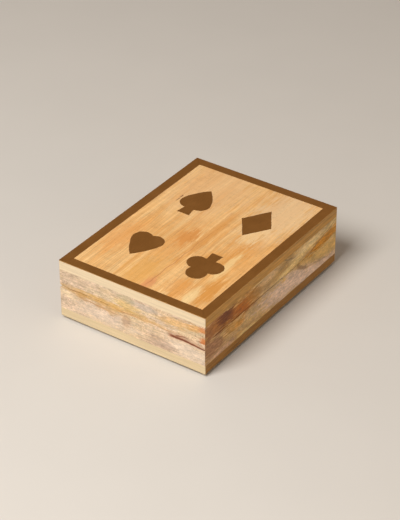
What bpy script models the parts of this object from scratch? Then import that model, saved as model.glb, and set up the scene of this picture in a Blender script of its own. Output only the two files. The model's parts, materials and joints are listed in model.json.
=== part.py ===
"""Poker chip case: a hinged wooden box with brass inlay in its lid, as its separate pieces.

Run it with blender --background --python part.py, or from Blender's text editor.

The frame: +Z up, the origin on the table under the middle of the case, X along its length,
the opening side at -Y and the hinges at +Y. All lengths are in metres.
"""

import math

import bmesh
import bpy
from mathutils import Matrix

MM = 0.001

# The whole case, standing on its feet and closed.
CASE_LENGTH = 224 * MM
CASE_DEPTH = 164 * MM
BODY_HEIGHT = 62 * MM
FOOT_HEIGHT = 3 * MM
LID_HEIGHT = 28 * MM

# The boards that it is made of.
LID_PANEL_THICKNESS = 10 * MM
BASE_PANEL_THICKNESS = 9 * MM
WALL_THICKNESS = 9 * MM

# Gaps between pieces.
GLUE_LINE = 0.1 * MM
LID_SEAM = 0.3 * MM
LOOSE_FIT = 0.3 * MM

# The brass let into the lid.
BORDER_WIDTH = 10 * MM
INLAY_THICKNESS = 0.5 * MM
INLAY_BELOW_FACE = 0.05 * MM
SUIT_COLUMN = 34.2 * MM
SPADE_ROW = 43 * MM
DIAMOND_ROW = 44 * MM
HEART_ROW = -47 * MM
CLUB_ROW = -44.5 * MM

# The butt hinges, let into the back walls. The chamfers along the back edges stop the open lid.
REAR_CHAMFER = 2.3 * MM
HINGE_SETBACK = 1.95 * MM
HINGE_SPACING = 132 * MM
HINGE_LENGTH = 32 * MM
KNUCKLE_COUNT = 5
KNUCKLE_RADIUS = 1.9 * MM
KNUCKLE_BORE = 1.1 * MM
PIN_RADIUS = 0.85 * MM
LEAF_REACH = 6.2 * MM
LEAF_THICKNESS = 1.0 * MM
LEAF_SCREW_REACH = 3.9 * MM
LEAF_SCREW_SPACING = 18 * MM
SCREW_HEAD_RADIUS = 1.6 * MM
SCREW_SHANK_RADIUS = 0.9 * MM
SCREW_HEAD_DEPTH = 0.7 * MM
SCREW_BELOW_FACE = 0.05 * MM
SCREW_LENGTH = 7 * MM
SCREW_POINT = 1.5 * MM

# The magnets in the front walls' rims.
MAGNET_RADIUS = 3 * MM
MAGNET_THICKNESS = 3 * MM
MAGNET_SPACING = 150 * MM

# The inside: a rack for chips at the right, and wells for two decks of cards at the left.
CHIP_RADIUS = 19.5 * MM
TROUGH_RADIUS = CHIP_RADIUS + 0.5 * MM
TROUGH_COUNT = 3
TROUGH_FLOOR = 1.5 * MM
RACK_LENGTH = 111 * MM
RACK_HEIGHT = 18.5 * MM
RACK_END_WALL = 4 * MM
DIVIDER_THICKNESS = 7 * MM
DIVIDER_HEIGHT = 14 * MM
SCOOP_RADIUS = 16 * MM
SCOOP_DEPTH = 8 * MM
FELT_THICKNESS = 1 * MM

# The feet.
FOOT_RADIUS = 6 * MM
FOOT_INSET = 18 * MM
FOOT_CHAMFER = 0.6 * MM

# Heights and places that follow from those.
BODY_TOP = FOOT_HEIGHT + BODY_HEIGHT
LID_PANEL_UNDERSIDE = BODY_TOP - LID_PANEL_THICKNESS
BASE_PANEL_TOP = FOOT_HEIGHT + BASE_PANEL_THICKNESS
SEAM_HEIGHT = BODY_TOP - LID_HEIGHT
LID_RIM = SEAM_HEIGHT + LID_SEAM / 2
BASE_RIM = SEAM_HEIGHT - LID_SEAM / 2
INSIDE_LENGTH = CASE_LENGTH - 2 * WALL_THICKNESS
INSIDE_DEPTH = CASE_DEPTH - 2 * WALL_THICKNESS
HINGE_AXIS = (0, CASE_DEPTH / 2 - HINGE_SETBACK, SEAM_HEIGHT)

ROUND_SEGMENTS = 24
OVERSHOOT = 1 * MM  # how far a cutter runs past the face that it cuts
SIDES = {"front": 0, "right": 90, "back": 180, "left": 270}  # each board's turn about Z, in degrees


# ---------------------------------------------------------------- meshes


def finished(shape):
    """The bmesh as a mesh, with its faces pointing outwards."""
    bmesh.ops.recalc_face_normals(shape, faces=shape.faces)
    mesh = bpy.data.meshes.new("shape")
    shape.to_mesh(mesh)
    shape.free()
    return mesh


def prism(outline, bottom, top):
    """The area inside an outline of (x, y) points, extruded from bottom to top."""
    shape = bmesh.new()
    floor = shape.faces.new([shape.verts.new((x, y, bottom)) for x, y in outline])
    raised = bmesh.ops.extrude_face_region(shape, geom=[floor])
    lifted = [item for item in raised["geom"] if isinstance(item, bmesh.types.BMVert)]
    bmesh.ops.translate(shape, verts=lifted, vec=(0, 0, top - bottom))
    return finished(shape)


def rectangle(low_x, low_y, high_x, high_y):
    """The corners of a rectangle, anticlockwise."""
    return [(low_x, low_y), (high_x, low_y), (high_x, high_y), (low_x, high_y)]


def centred_rectangle(length, depth):
    return rectangle(-length / 2, -depth / 2, length / 2, depth / 2)


def turned(profile, segments=ROUND_SEGMENTS):
    """A profile of (radius, height) points, which starts and ends on the axis, spun about Z."""
    shape = bmesh.new()
    points = [shape.verts.new((radius, 0, height)) for radius, height in profile]
    edges = [shape.edges.new(pair) for pair in zip(points, points[1:])]
    bmesh.ops.spin(
        shape,
        geom=points + edges,
        cent=(0, 0, 0),
        axis=(0, 0, 1),
        angle=2 * math.pi,
        steps=segments,
        use_merge=True,
    )
    bmesh.ops.remove_doubles(shape, verts=shape.verts, dist=0.001 * MM)
    mesh = finished(shape)
    mesh.shade_smooth()
    mesh.set_sharp_from_angle(angle=math.radians(30))
    return mesh


def cylinder(radius, bottom, top, segments=ROUND_SEGMENTS):
    """A cylinder about Z."""
    return turned([(0, bottom), (radius, bottom), (radius, top), (0, top)], segments)


def rod(radius, start, end, segments=ROUND_SEGMENTS):
    """A cylinder along X, with a corner of its outline at the top."""
    return moved(cylinder(radius, start, end, segments), turn_y=90)


def moved(mesh, offset=(0, 0, 0), turn_x=0, turn_y=0):
    """The mesh turned about X and Y, in degrees, and then moved."""
    turns = Matrix.Rotation(math.radians(turn_x), 4, "X") @ Matrix.Rotation(math.radians(turn_y), 4, "Y")
    mesh.transform(Matrix.Translation(offset) @ turns)
    return mesh


def combined(body, tool, operation):
    """The mesh that a Boolean makes of a body and a tool, which it uses up."""
    target = bpy.data.objects.new("target", body)
    other = bpy.data.objects.new("tool", tool)
    for item in (target, other):
        bpy.context.scene.collection.objects.link(item)
    modifier = target.modifiers.new("Boolean", "BOOLEAN")
    modifier.operation = operation
    modifier.solver = "EXACT"
    modifier.object = other
    bpy.context.view_layer.update()
    graph = bpy.context.evaluated_depsgraph_get()
    result = bpy.data.meshes.new_from_object(target.evaluated_get(graph))
    for item in (target, other):
        bpy.data.objects.remove(item)
    return result


def cut(body, *tools):
    for tool in tools:
        body = combined(body, tool, "DIFFERENCE")
    return body


def joined(body, *others):
    for other in others:
        body = combined(body, other, "UNION")
    return body


def mitred_board(run, setback, width, bottom, top):
    """A board along X, of length run at its outer face, which stands at y = -setback.

    Its ends are cut at 45 degrees, so that it meets its neighbours in a mitre.
    """
    outer_end = run / 2 - GLUE_LINE
    inner_end = outer_end - width
    outline = [
        (-outer_end, -setback),
        (outer_end, -setback),
        (inner_end, width - setback),
        (-inner_end, width - setback),
    ]
    return prism(outline, bottom, top)


# ---------------------------------------------------------------- objects


def make_material(name, colour, roughness, metallic):
    material = bpy.data.materials.new(name)
    material.use_nodes = True
    shader = material.node_tree.nodes["Principled BSDF"]
    shader.inputs["Base Color"].default_value = (*colour, 1)
    shader.inputs["Roughness"].default_value = roughness
    shader.inputs["Metallic"].default_value = metallic
    return material


def place(name, mesh, finish, group, location=(0, 0, 0), turn=0):
    """A named object for a mesh, at a place in the frame, turned about Z by degrees."""
    mesh.name = name
    mesh.materials.clear()
    mesh.materials.append(finish)
    item = bpy.data.objects.new(name, mesh)
    bpy.context.scene.collection.objects.link(item)
    item.parent = group
    item.location = [at - start for at, start in zip(location, group.location)]
    item.rotation_euler = (0, 0, math.radians(turn))
    return item


def make_group(name, location):
    group = bpy.data.objects.new(name, None)
    bpy.context.scene.collection.objects.link(group)
    group.location = location
    return group


# ---------------------------------------------------------------- outlines of the card suits


def arc(centre, start, end, steps=9):
    """Points clockwise round a centre, from start to just before end."""
    radius = math.dist(centre, start)
    first = math.atan2(start[1] - centre[1], start[0] - centre[0])
    last = math.atan2(end[1] - centre[1], end[0] - centre[0])
    if last > first:
        last -= 2 * math.pi
    angles = [first + (last - first) * step / steps for step in range(steps)]
    return [(centre[0] + radius * math.cos(a), centre[1] + radius * math.sin(a)) for a in angles]


def on_circle(centre, radius, degrees):
    angle = math.radians(degrees)
    return (centre[0] + radius * math.cos(angle), centre[1] + radius * math.sin(angle))


def bow(start, control, end, steps=6):
    """Points on a quadratic curve, from start to just before end."""
    places = [step / steps for step in range(steps)]
    return [
        tuple(
            (1 - t) ** 2 * a + 2 * t * (1 - t) * b + t**2 * c
            for a, b, c in zip(start, control, end)
        )
        for t in places
    ]


def right_crossing(centre, radius, other, other_radius):
    """Where two circles cross, on the side with the greater x."""
    apart = math.dist(centre, other)
    along = (apart**2 + radius**2 - other_radius**2) / (2 * apart)
    aside = math.sqrt(radius**2 - along**2)
    unit = [(b - a) / apart for a, b in zip(centre, other)]
    crossings = [
        (
            centre[0] + along * unit[0] - side * aside * unit[1],
            centre[1] + along * unit[1] + side * aside * unit[0],
        )
        for side in (-1, 1)
    ]
    return max(crossings)


def mirrored(right_half):
    """A right half, from its top point to its bottom one, and its mirror image.

    The first and last points may lie on the middle line, which then isn't doubled.
    """
    left_half = [(-x, y) for x, y in reversed(right_half) if x > 0.01]
    return right_half + left_half


def centred_in_height(outline):
    heights = [y for _, y in outline]
    middle = (min(heights) + max(heights)) / 2
    return [(x * MM, (y - middle) * MM) for x, y in outline]


def heart():
    """Two round lobes, and bowed sides down to a point. Its sizes are in millimetres."""
    lobe, radius, tip = (6.7, 28.4), 10, (0, -0.9)
    notch = (0, lobe[1] + math.sqrt(radius**2 - lobe[0] ** 2))
    side = on_circle(lobe, radius, -22)
    return centred_in_height(mirrored(arc(lobe, notch, side, 14) + bow(side, (11.9, 12.6), tip) + [tip]))


def spade():
    """A bowed point, two round lobes and a flared stem. Its sizes are in millimetres."""
    lobe, radius, tip = (5.4, 21), 10.5, (0, 47.9)
    shoulder = on_circle(lobe, radius, 25)
    stem_top, stem_waist, stem_foot = (5.3, 10.5), (5.4, 7), (6.9, 0)
    right_half = bow(tip, (11, 37), shoulder) + arc(lobe, shoulder, stem_top)
    return centred_in_height(mirrored(right_half + bow(stem_top, stem_waist, stem_foot) + [stem_foot]))


def club():
    """Three round lobes and a short stem. Its sizes are in millimetres."""
    top_lobe, top_radius = (0, 34.4), 10.1
    side_lobe, side_radius = (9, 20.1), 9.9
    crown = (0, top_lobe[1] + top_radius)
    crotch = right_crossing(top_lobe, top_radius, side_lobe, side_radius)
    stem_width, foot_width = 5.15, 5.9
    stem_top = (stem_width, side_lobe[1] - math.sqrt(side_radius**2 - (side_lobe[0] - stem_width) ** 2))
    stem_foot = (foot_width, 0)
    right_half = arc(top_lobe, crown, crotch) + arc(side_lobe, crotch, stem_top, 14)
    return centred_in_height(mirrored(right_half + bow(stem_top, (stem_width, 3), stem_foot) + [stem_foot]))


def diamond():
    """Four corners, the side ones a little below the middle. Its sizes are in millimetres."""
    half_width, half_height, drop = 16.5, 25.1, 0.7
    return centred_in_height([(0, half_height), (half_width, -drop), (0, -half_height), (-half_width, -drop)])


def grown(outline, margin):
    """A clockwise outline moved outwards by a margin along its normals."""
    result = []
    for before, here, after in zip(outline[-1:] + outline[:-1], outline, outline[1:] + outline[:1]):
        normals = []
        for start, end in ((before, here), (here, after)):
            length = math.dist(start, end)
            normals.append(((start[1] - end[1]) / length, (end[0] - start[0]) / length))
        total = [a + b for a, b in zip(*normals)]
        reach = 2 * margin / (total[0] ** 2 + total[1] ** 2)
        result.append((here[0] + reach * total[0], here[1] + reach * total[1]))
    return result


def laid_on_lid(outline, column, row, upside_down=False):
    """An outline placed on the lid, whose picture reads with +X upwards and -Y to the right."""
    sign = -1 if upside_down else 1
    return [(row + sign * y, -(column + sign * x)) for x, y in outline]


def suit_outlines():
    """The suits' names, and their outlines as (x, y) points of the frame."""
    return {
        "spade": laid_on_lid(spade(), -SUIT_COLUMN, SPADE_ROW),
        "diamond": laid_on_lid(diamond(), SUIT_COLUMN, DIAMOND_ROW),
        "heart": laid_on_lid(heart(), -SUIT_COLUMN, HEART_ROW),
        "club": laid_on_lid(club(), SUIT_COLUMN, CLUB_ROW, upside_down=True),
    }


# ---------------------------------------------------------------- the lid's panel and its brass


def make_lid_panel(finish, lid):
    """The top board, with a rebate for the border and a pocket for each suit."""
    recess_floor = BODY_TOP - INLAY_BELOW_FACE - INLAY_THICKNESS - GLUE_LINE
    field_inset = BORDER_WIDTH + GLUE_LINE
    field = centred_rectangle(CASE_LENGTH - 2 * field_inset, CASE_DEPTH - 2 * field_inset)
    board = prism(centred_rectangle(CASE_LENGTH, CASE_DEPTH), LID_PANEL_UNDERSIDE, recess_floor)
    panel = joined(board, prism(field, LID_PANEL_UNDERSIDE + OVERSHOOT, BODY_TOP))
    for outline in suit_outlines().values():
        panel = cut(panel, prism(grown(outline, GLUE_LINE), recess_floor, BODY_TOP + OVERSHOOT))
    place("lid_panel", panel, finish, lid)


def make_inlays(finish, lid):
    """The four mitred strips round the edge, and the four suits."""
    top = BODY_TOP - INLAY_BELOW_FACE
    for side, turn in SIDES.items():
        run, across = side_runs(side)
        strip = mitred_board(run, across / 2, BORDER_WIDTH, top - INLAY_THICKNESS, top)
        place(f"border_strip_{side}", strip, finish, lid, turn=turn)
    for name, outline in suit_outlines().items():
        place(f"{name}_inlay", prism(outline, top - INLAY_THICKNESS, top), finish, lid)


def side_runs(side):
    """The length of the case along a side, and the distance across to the opposite one."""
    if side in ("front", "back"):
        return CASE_LENGTH, CASE_DEPTH
    return CASE_DEPTH, CASE_LENGTH


# ---------------------------------------------------------------- walls and panels


def rear_groove():
    """The V that the lid's and the base's rear chamfers make, as a cutter along the back."""
    back = CASE_DEPTH / 2
    apex = back - REAR_CHAMFER - LID_SEAM / 2
    reach = REAR_CHAMFER + LID_SEAM / 2 + OVERSHOOT
    outline = [
        (apex, SEAM_HEIGHT),
        (back + OVERSHOOT, SEAM_HEIGHT - reach),
        (back + OVERSHOOT, SEAM_HEIGHT + reach),
    ]
    length = CASE_LENGTH + 2 * OVERSHOOT
    groove = prism(outline, -length / 2, length / 2)
    groove.transform(Matrix(((0, 0, 1, 0), (1, 0, 0, 0), (0, 1, 0, 0), (0, 0, 0, 1))))
    return groove


def hinge_mortises():
    """Cutters for the knuckles, the leaves and the screws of both hinges, in both back walls."""
    cutters = []
    half_length = HINGE_LENGTH / 2 + LOOSE_FIT
    leaf_depth = LID_SEAM / 2 + LEAF_THICKNESS + LOOSE_FIT
    for x in hinge_places():
        centre = (x, HINGE_AXIS[1], SEAM_HEIGHT)
        barrel = rod(KNUCKLE_RADIUS + LOOSE_FIT, -half_length, half_length)
        recess = rectangle(-half_length, -LEAF_REACH - LOOSE_FIT, half_length, 0)
        leaf = prism(recess, -leaf_depth, leaf_depth)
        cutters += [moved(barrel, centre), moved(leaf, centre)]
        screw_depth = SCREW_LENGTH + LOOSE_FIT + LID_SEAM
        for screw_x in screw_places():
            hole = cylinder(SCREW_SHANK_RADIUS + LOOSE_FIT, -screw_depth, screw_depth, 12)
            cutters.append(moved(hole, (x + screw_x, HINGE_AXIS[1] - LEAF_SCREW_REACH, SEAM_HEIGHT)))
    return cutters


def magnet_holes():
    """Cutters for the magnets, in both front walls."""
    depth = LID_SEAM / 2 + GLUE_LINE + MAGNET_THICKNESS + GLUE_LINE
    return [
        moved(cylinder(MAGNET_RADIUS + GLUE_LINE, -depth, depth), (x, magnet_y(), SEAM_HEIGHT))
        for x in (-MAGNET_SPACING / 2, MAGNET_SPACING / 2)
    ]


def make_walls(part, bottom, top, finish, group):
    """The four mitred walls of the lid or the base."""
    for side, turn in SIDES.items():
        run, across = side_runs(side)
        wall = mitred_board(run, across / 2, WALL_THICKNESS, bottom, top)
        wall.transform(Matrix.Rotation(math.radians(turn), 4, "Z"))
        if side == "front":
            wall = cut(wall, *magnet_holes())
        else:
            wall = cut(wall, rear_groove())
        if side == "back":
            wall = cut(wall, *hinge_mortises())
        place(f"{part}_wall_{side}", wall, finish, group)


def make_base_panel(finish, base):
    board = prism(centred_rectangle(CASE_LENGTH, CASE_DEPTH), FOOT_HEIGHT, BASE_PANEL_TOP)
    place("base_panel", board, finish, base)


# ---------------------------------------------------------------- hinges


def hinge_places():
    return (-HINGE_SPACING / 2, HINGE_SPACING / 2)


def screw_places():
    return (-LEAF_SCREW_SPACING / 2, LEAF_SCREW_SPACING / 2)


def knuckle_span(index):
    """Where a knuckle starts and ends along the pin."""
    pitch = HINGE_LENGTH / KNUCKLE_COUNT
    start = -HINGE_LENGTH / 2 + index * pitch
    return start + LOOSE_FIT / 2, start + pitch - LOOSE_FIT / 2


def leaf_outline(own):
    """A leaf from above: tabs that reach its own knuckles, and notches clear of the others."""
    tab_margin = 0.05 * MM
    tab_edge = -(KNUCKLE_BORE + 0.25 * MM)
    notch_edge = -(KNUCKLE_RADIUS + LOOSE_FIT)
    points = [(-HINGE_LENGTH / 2, -LEAF_REACH), (HINGE_LENGTH / 2, -LEAF_REACH)]
    edge = []
    for index in range(KNUCKLE_COUNT):
        if index not in own:
            continue
        start, end = knuckle_span(index)
        start = max(start - tab_margin, -HINGE_LENGTH / 2)
        end = min(end + tab_margin, HINGE_LENGTH / 2)
        edge += [(start, notch_edge), (start, tab_edge), (end, tab_edge), (end, notch_edge)]
    if 0 in own:  # the outer tabs are flush with the leaf's ends
        edge = [(-HINGE_LENGTH / 2, tab_edge), *edge[2:-2], (HINGE_LENGTH / 2, tab_edge)]
    else:
        edge = [(-HINGE_LENGTH / 2, notch_edge), *edge, (HINGE_LENGTH / 2, notch_edge)]
    return points + edge[::-1]


def countersink():
    """A cutter for one screw's hole in both leaves, widest in the plane between them."""
    shank, head = SCREW_SHANK_RADIUS + LOOSE_FIT, SCREW_HEAD_RADIUS + LOOSE_FIT
    flare = LID_SEAM / 2 + SCREW_HEAD_DEPTH + GLUE_LINE
    land = flare - (head - shank)
    end = 3 * LEAF_THICKNESS
    upper_half = [(head, land), (shank, flare), (shank, end), (0, end)]
    lower_half = [(radius, -height) for radius, height in reversed(upper_half)]
    return turned(lower_half + upper_half)


def leaf_mesh(own):
    """The lower leaf of a hinge about its own centre, with the knuckles numbered in own."""
    leaf = prism(leaf_outline(own), -LID_SEAM / 2 - LEAF_THICKNESS, -LID_SEAM / 2)
    leaf = joined(leaf, *[rod(KNUCKLE_RADIUS, *knuckle_span(index)) for index in own])
    leaf = cut(leaf, rod(KNUCKLE_BORE, -HINGE_LENGTH, HINGE_LENGTH, 16))
    for x in screw_places():
        leaf = cut(leaf, moved(countersink(), (x, -LEAF_SCREW_REACH, 0)))
    leaf.shade_smooth()
    leaf.set_sharp_from_angle(angle=math.radians(30))
    return leaf


def screw_mesh():
    """A slotted countersunk wood screw about its own axis, head up, its face at height 0."""
    profile = [
        (0, -SCREW_LENGTH),
        (SCREW_SHANK_RADIUS, -SCREW_LENGTH + SCREW_POINT),
        (SCREW_SHANK_RADIUS, -SCREW_HEAD_DEPTH),
        (SCREW_HEAD_RADIUS, 0),
        (0, 0),
    ]
    slot_width, slot_depth = 0.4 * MM, 0.35 * MM
    slot = prism(centred_rectangle(4 * SCREW_HEAD_RADIUS, slot_width), -slot_depth, OVERSHOOT)
    return cut(turned(profile, 16), slot)


def pin_mesh():
    """A hinge pin along X, with slightly rounded ends."""
    end, round_end = HINGE_LENGTH / 2, 0.3 * MM
    profile = [
        (0, -end),
        (PIN_RADIUS - round_end, -end),
        (PIN_RADIUS, -end + round_end),
        (PIN_RADIUS, end - round_end),
        (PIN_RADIUS - round_end, end),
        (0, end),
    ]
    return moved(turned(profile, 16), turn_y=90)


def make_hinges(finish, base, lid):
    """Two butt hinges: a leaf and two screws on each half, and a pin held by the base's leaf."""
    base_leaf = leaf_mesh(own=(0, 2, 4))
    lid_leaf = moved(leaf_mesh(own=(1, 3)), turn_x=180)
    lid_leaf.transform(Matrix.Rotation(math.pi, 4, "Z"))
    base_screw, pin = screw_mesh(), pin_mesh()
    lid_screw = moved(screw_mesh(), turn_x=180)
    head = LID_SEAM / 2 + SCREW_BELOW_FACE
    for label, x in zip(("left", "right"), hinge_places()):
        centre = (x, HINGE_AXIS[1], SEAM_HEIGHT)
        place(f"hinge_{label}_base_leaf", base_leaf, finish, base, centre)
        place(f"hinge_{label}_lid_leaf", lid_leaf, finish, lid, centre)
        place(f"hinge_{label}_pin", pin, finish, base, centre)
        for number, screw_x in enumerate(screw_places(), 1):
            screw_y, slot_turn = HINGE_AXIS[1] - LEAF_SCREW_REACH, 25 * number
            low = (x + screw_x, screw_y, SEAM_HEIGHT - head)
            high = (x + screw_x, screw_y, SEAM_HEIGHT + head)
            place(f"hinge_{label}_base_screw_{number}", base_screw, finish, base, low, slot_turn)
            place(f"hinge_{label}_lid_screw_{number}", lid_screw, finish, lid, high, slot_turn)


# ---------------------------------------------------------------- magnets, lining, rack and feet


def magnet_y():
    return -CASE_DEPTH / 2 + WALL_THICKNESS / 2


def make_magnets(finish, base, lid):
    """A pair of magnets near each end of the front, one in each rim, that holds the lid shut."""
    face = LID_SEAM / 2 + GLUE_LINE
    disc = cylinder(MAGNET_RADIUS, -MAGNET_THICKNESS / 2, MAGNET_THICKNESS / 2)
    for label, x in (("left", -MAGNET_SPACING / 2), ("right", MAGNET_SPACING / 2)):
        offset = face + MAGNET_THICKNESS / 2
        place(f"base_magnet_{label}", disc, finish, base, (x, magnet_y(), SEAM_HEIGHT - offset))
        place(f"lid_magnet_{label}", disc, finish, lid, (x, magnet_y(), SEAM_HEIGHT + offset))


def make_lid_felt(finish, lid):
    """The sheet that lines the underside of the lid's panel."""
    sheet = centred_rectangle(INSIDE_LENGTH - 2 * LOOSE_FIT, INSIDE_DEPTH - 2 * LOOSE_FIT)
    top = LID_PANEL_UNDERSIDE - GLUE_LINE
    place("lid_felt", prism(sheet, top - FELT_THICKNESS, top), finish, lid)


def make_chip_rack(finish, base):
    """A block with half-round troughs along X, in which the chips stand on edge."""
    depth = INSIDE_DEPTH - 2 * LOOSE_FIT
    bottom = BASE_PANEL_TOP + GLUE_LINE
    right = INSIDE_LENGTH / 2 - LOOSE_FIT
    left = right - RACK_LENGTH
    rack = prism(rectangle(left, -depth / 2, right, depth / 2), bottom, bottom + RACK_HEIGHT)
    rib = (depth - TROUGH_COUNT * 2 * TROUGH_RADIUS) / (TROUGH_COUNT + 1)
    pitch = 2 * TROUGH_RADIUS + rib
    axis_height = bottom + TROUGH_FLOOR + TROUGH_RADIUS
    for index in range(TROUGH_COUNT):
        y = (index - (TROUGH_COUNT - 1) / 2) * pitch
        trough = rod(TROUGH_RADIUS, left + RACK_END_WALL, right - RACK_END_WALL, 48)
        rack = cut(rack, moved(trough, (0, y, axis_height)))
    place("chip_rack", rack, finish, base)


def card_well_ends():
    """Where the card wells start and end along X."""
    left = -INSIDE_LENGTH / 2 + LOOSE_FIT
    right = INSIDE_LENGTH / 2 - LOOSE_FIT - RACK_LENGTH - LOOSE_FIT
    return left, right


def make_card_divider(finish, base):
    """The low wall between the two decks, with a scoop for the fingers."""
    left, right = card_well_ends()
    bottom = BASE_PANEL_TOP + GLUE_LINE
    half = DIVIDER_THICKNESS / 2
    divider = prism(rectangle(left, -half, right, half), bottom, bottom + DIVIDER_HEIGHT)
    scoop = moved(cylinder(SCOOP_RADIUS, -2 * half, 2 * half, 48), turn_x=90)
    scoop_height = bottom + DIVIDER_HEIGHT + SCOOP_RADIUS - SCOOP_DEPTH
    place("card_divider", cut(divider, moved(scoop, ((left + right) / 2, 0, scoop_height))), finish, base)


def make_card_well_felts(finish, base):
    """A pad of felt on the floor of each card well."""
    left, right = card_well_ends()
    bottom = BASE_PANEL_TOP + GLUE_LINE
    near, far = DIVIDER_THICKNESS / 2 + LOOSE_FIT, INSIDE_DEPTH / 2 - LOOSE_FIT
    for label, low, high in (("front", -far, -near), ("back", near, far)):
        pad = prism(rectangle(left, low, right, high), bottom, bottom + FELT_THICKNESS)
        place(f"card_well_felt_{label}", pad, finish, base)


def make_feet(finish, base):
    """Four round pads that keep the case off the table."""
    top = FOOT_HEIGHT - GLUE_LINE
    rim = FOOT_RADIUS - FOOT_CHAMFER
    foot = turned([(0, 0), (rim, 0), (FOOT_RADIUS, FOOT_CHAMFER), (FOOT_RADIUS, top), (0, top)])
    x, y = CASE_LENGTH / 2 - FOOT_INSET, CASE_DEPTH / 2 - FOOT_INSET
    for depth_name, foot_y in (("front", -y), ("back", y)):
        for side_name, foot_x in (("left", -x), ("right", x)):
            place(f"foot_{depth_name}_{side_name}", foot, finish, base, (foot_x, foot_y, 0))


def main():
    for item in list(bpy.data.objects):
        bpy.data.objects.remove(item)

    pale_wood = make_material("pale_mango_wood", (0.72, 0.47, 0.24), 0.45, 0)
    wall_wood = make_material("figured_mango_wood", (0.55, 0.38, 0.24), 0.5, 0)
    brass = make_material("brass", (0.55, 0.31, 0.11), 0.4, 1)
    bright_brass = make_material("bright_brass", (0.75, 0.52, 0.22), 0.3, 1)
    nickel = make_material("nickel", (0.72, 0.70, 0.66), 0.25, 1)
    felt = make_material("felt", (0.016, 0.054, 0.03), 0.95, 0)
    rubber = make_material("rubber", (0.02, 0.02, 0.02), 0.8, 0)

    base = make_group("base", (0, 0, 0))
    lid = make_group("lid", HINGE_AXIS)

    make_lid_panel(pale_wood, lid)
    make_inlays(brass, lid)
    make_walls("lid", LID_RIM, LID_PANEL_UNDERSIDE - GLUE_LINE, wall_wood, lid)
    make_lid_felt(felt, lid)

    make_base_panel(pale_wood, base)
    make_walls("base", BASE_PANEL_TOP + GLUE_LINE, BASE_RIM, wall_wood, base)
    make_chip_rack(pale_wood, base)
    make_card_divider(pale_wood, base)
    make_card_well_felts(felt, base)
    make_feet(rubber, base)

    make_hinges(bright_brass, base, lid)
    make_magnets(nickel, base, lid)
    bpy.context.view_layer.update()


main()
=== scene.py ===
"""The surfaces and finishes of a wooden poker chip case, built round its fixed frame."""

import json
import math

import bmesh
import bpy
import numpy as np
from bpy.props import FloatProperty, FloatVectorProperty, PointerProperty
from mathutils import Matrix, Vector


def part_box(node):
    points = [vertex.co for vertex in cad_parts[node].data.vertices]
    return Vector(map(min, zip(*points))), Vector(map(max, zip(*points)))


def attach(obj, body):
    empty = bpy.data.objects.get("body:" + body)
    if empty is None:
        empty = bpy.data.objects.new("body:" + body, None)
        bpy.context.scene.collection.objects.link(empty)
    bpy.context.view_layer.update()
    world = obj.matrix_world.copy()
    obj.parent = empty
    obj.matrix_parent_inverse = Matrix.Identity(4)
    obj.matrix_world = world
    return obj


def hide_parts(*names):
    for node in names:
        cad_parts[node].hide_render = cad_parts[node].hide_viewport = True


bl_info = {
    "name": "Poker Chip Case",
    "version": (1, 0, 0),
    "blender": (4, 5, 0),
    "location": "3D View > Sidebar > Chip Case",
    "description": "Builds the boards, inlays, fittings and finishes of a wooden poker chip case",
    "category": "Object",
}

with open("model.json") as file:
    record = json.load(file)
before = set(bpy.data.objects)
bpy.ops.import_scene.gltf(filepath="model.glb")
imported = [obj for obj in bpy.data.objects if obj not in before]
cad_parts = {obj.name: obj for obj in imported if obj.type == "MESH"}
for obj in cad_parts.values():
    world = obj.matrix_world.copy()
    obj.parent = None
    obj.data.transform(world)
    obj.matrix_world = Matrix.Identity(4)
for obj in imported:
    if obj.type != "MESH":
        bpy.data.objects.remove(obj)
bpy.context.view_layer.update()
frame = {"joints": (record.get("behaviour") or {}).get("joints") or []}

MM = 0.001
LID, BASE = "lid", "base"
SIDE_TURNS = {"front": 0, "right": 1, "back": 2, "left": 3}  # quarter turns about Z


# ---------------------------------------------------------------- places, read from the frame


def low(node):
    return np.array(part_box(node)[0])


def high(node):
    return np.array(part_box(node)[1])


def middle(node):
    return (low(node) + high(node)) / 2


CASE_LENGTH, CASE_DEPTH = (high("lid_panel") - low("lid_panel"))[:2]
LID_TOP = high("lid_panel")[2]
PANEL_UNDERSIDE = low("lid_panel")[2]
SEAM = (high("base_wall_front")[2] + low("lid_wall_front")[2]) / 2
SEAM_GAP = low("lid_wall_front")[2] - high("base_wall_front")[2]
WALL = high("base_wall_front")[1] - low("base_wall_front")[1]
HINGE_AXIS = np.array(frame["joints"][0]["pos_m"])
BORDER = high("border_strip_front")[1] - low("border_strip_front")[1]
INLAY_TOP = high("border_strip_front")[2]
INLAY_FLOOR = low("border_strip_front")[2]
SCREEN = (0.684, 0.472, 0.556)  # the way to the middle of the room's screen
GLUE_GAP = 0.1 * MM
LOOSE_GAP = 0.3 * MM
EASING = np.linspace(0, np.pi / 2, 5)  # the steps of an edge that is eased by a quarter circle


# ---------------------------------------------------------------- settings


def tone(red, green, blue):
    """A colour on the scale of a screen, 0 to 255, as the linear values that Blender mixes."""
    values = np.array([red, green, blue]) / 255
    return tuple(np.where(values > 0.04045, ((values + 0.055) / 1.055) ** 2.4, values / 12.92))


def length(name, description, default):
    return FloatProperty(
        name=name, description=description, default=default, min=0, precision=5, unit="LENGTH"
    )


def colour(name, description, *levels):
    return FloatVectorProperty(
        name=name, description=description, default=tone(*levels), size=3, min=0, max=1, subtype="COLOR"
    )


class ChipCaseSizes(bpy.types.PropertyGroup):
    """The small sizes that the frame leaves open"""

    corner: length("Corner", "Radius of the case's upright corners", 0.7 * MM)
    arris: length("Arris", "Radius of the boards' long outer edges", 0.45 * MM)
    rim: length("Rim", "Radius of the edges where the lid meets the base", 0.3 * MM)
    inside_edge: length("Inside edge", "Radius of the edges of the rack and the divider", 0.9 * MM)
    hand_cut: length("Hand cut", "How far the saw wandered round the inlays", 0.16 * MM)
    glue_line: length("Glue line", "Mean width of the glue round the suits", 0.16 * MM)


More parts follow.
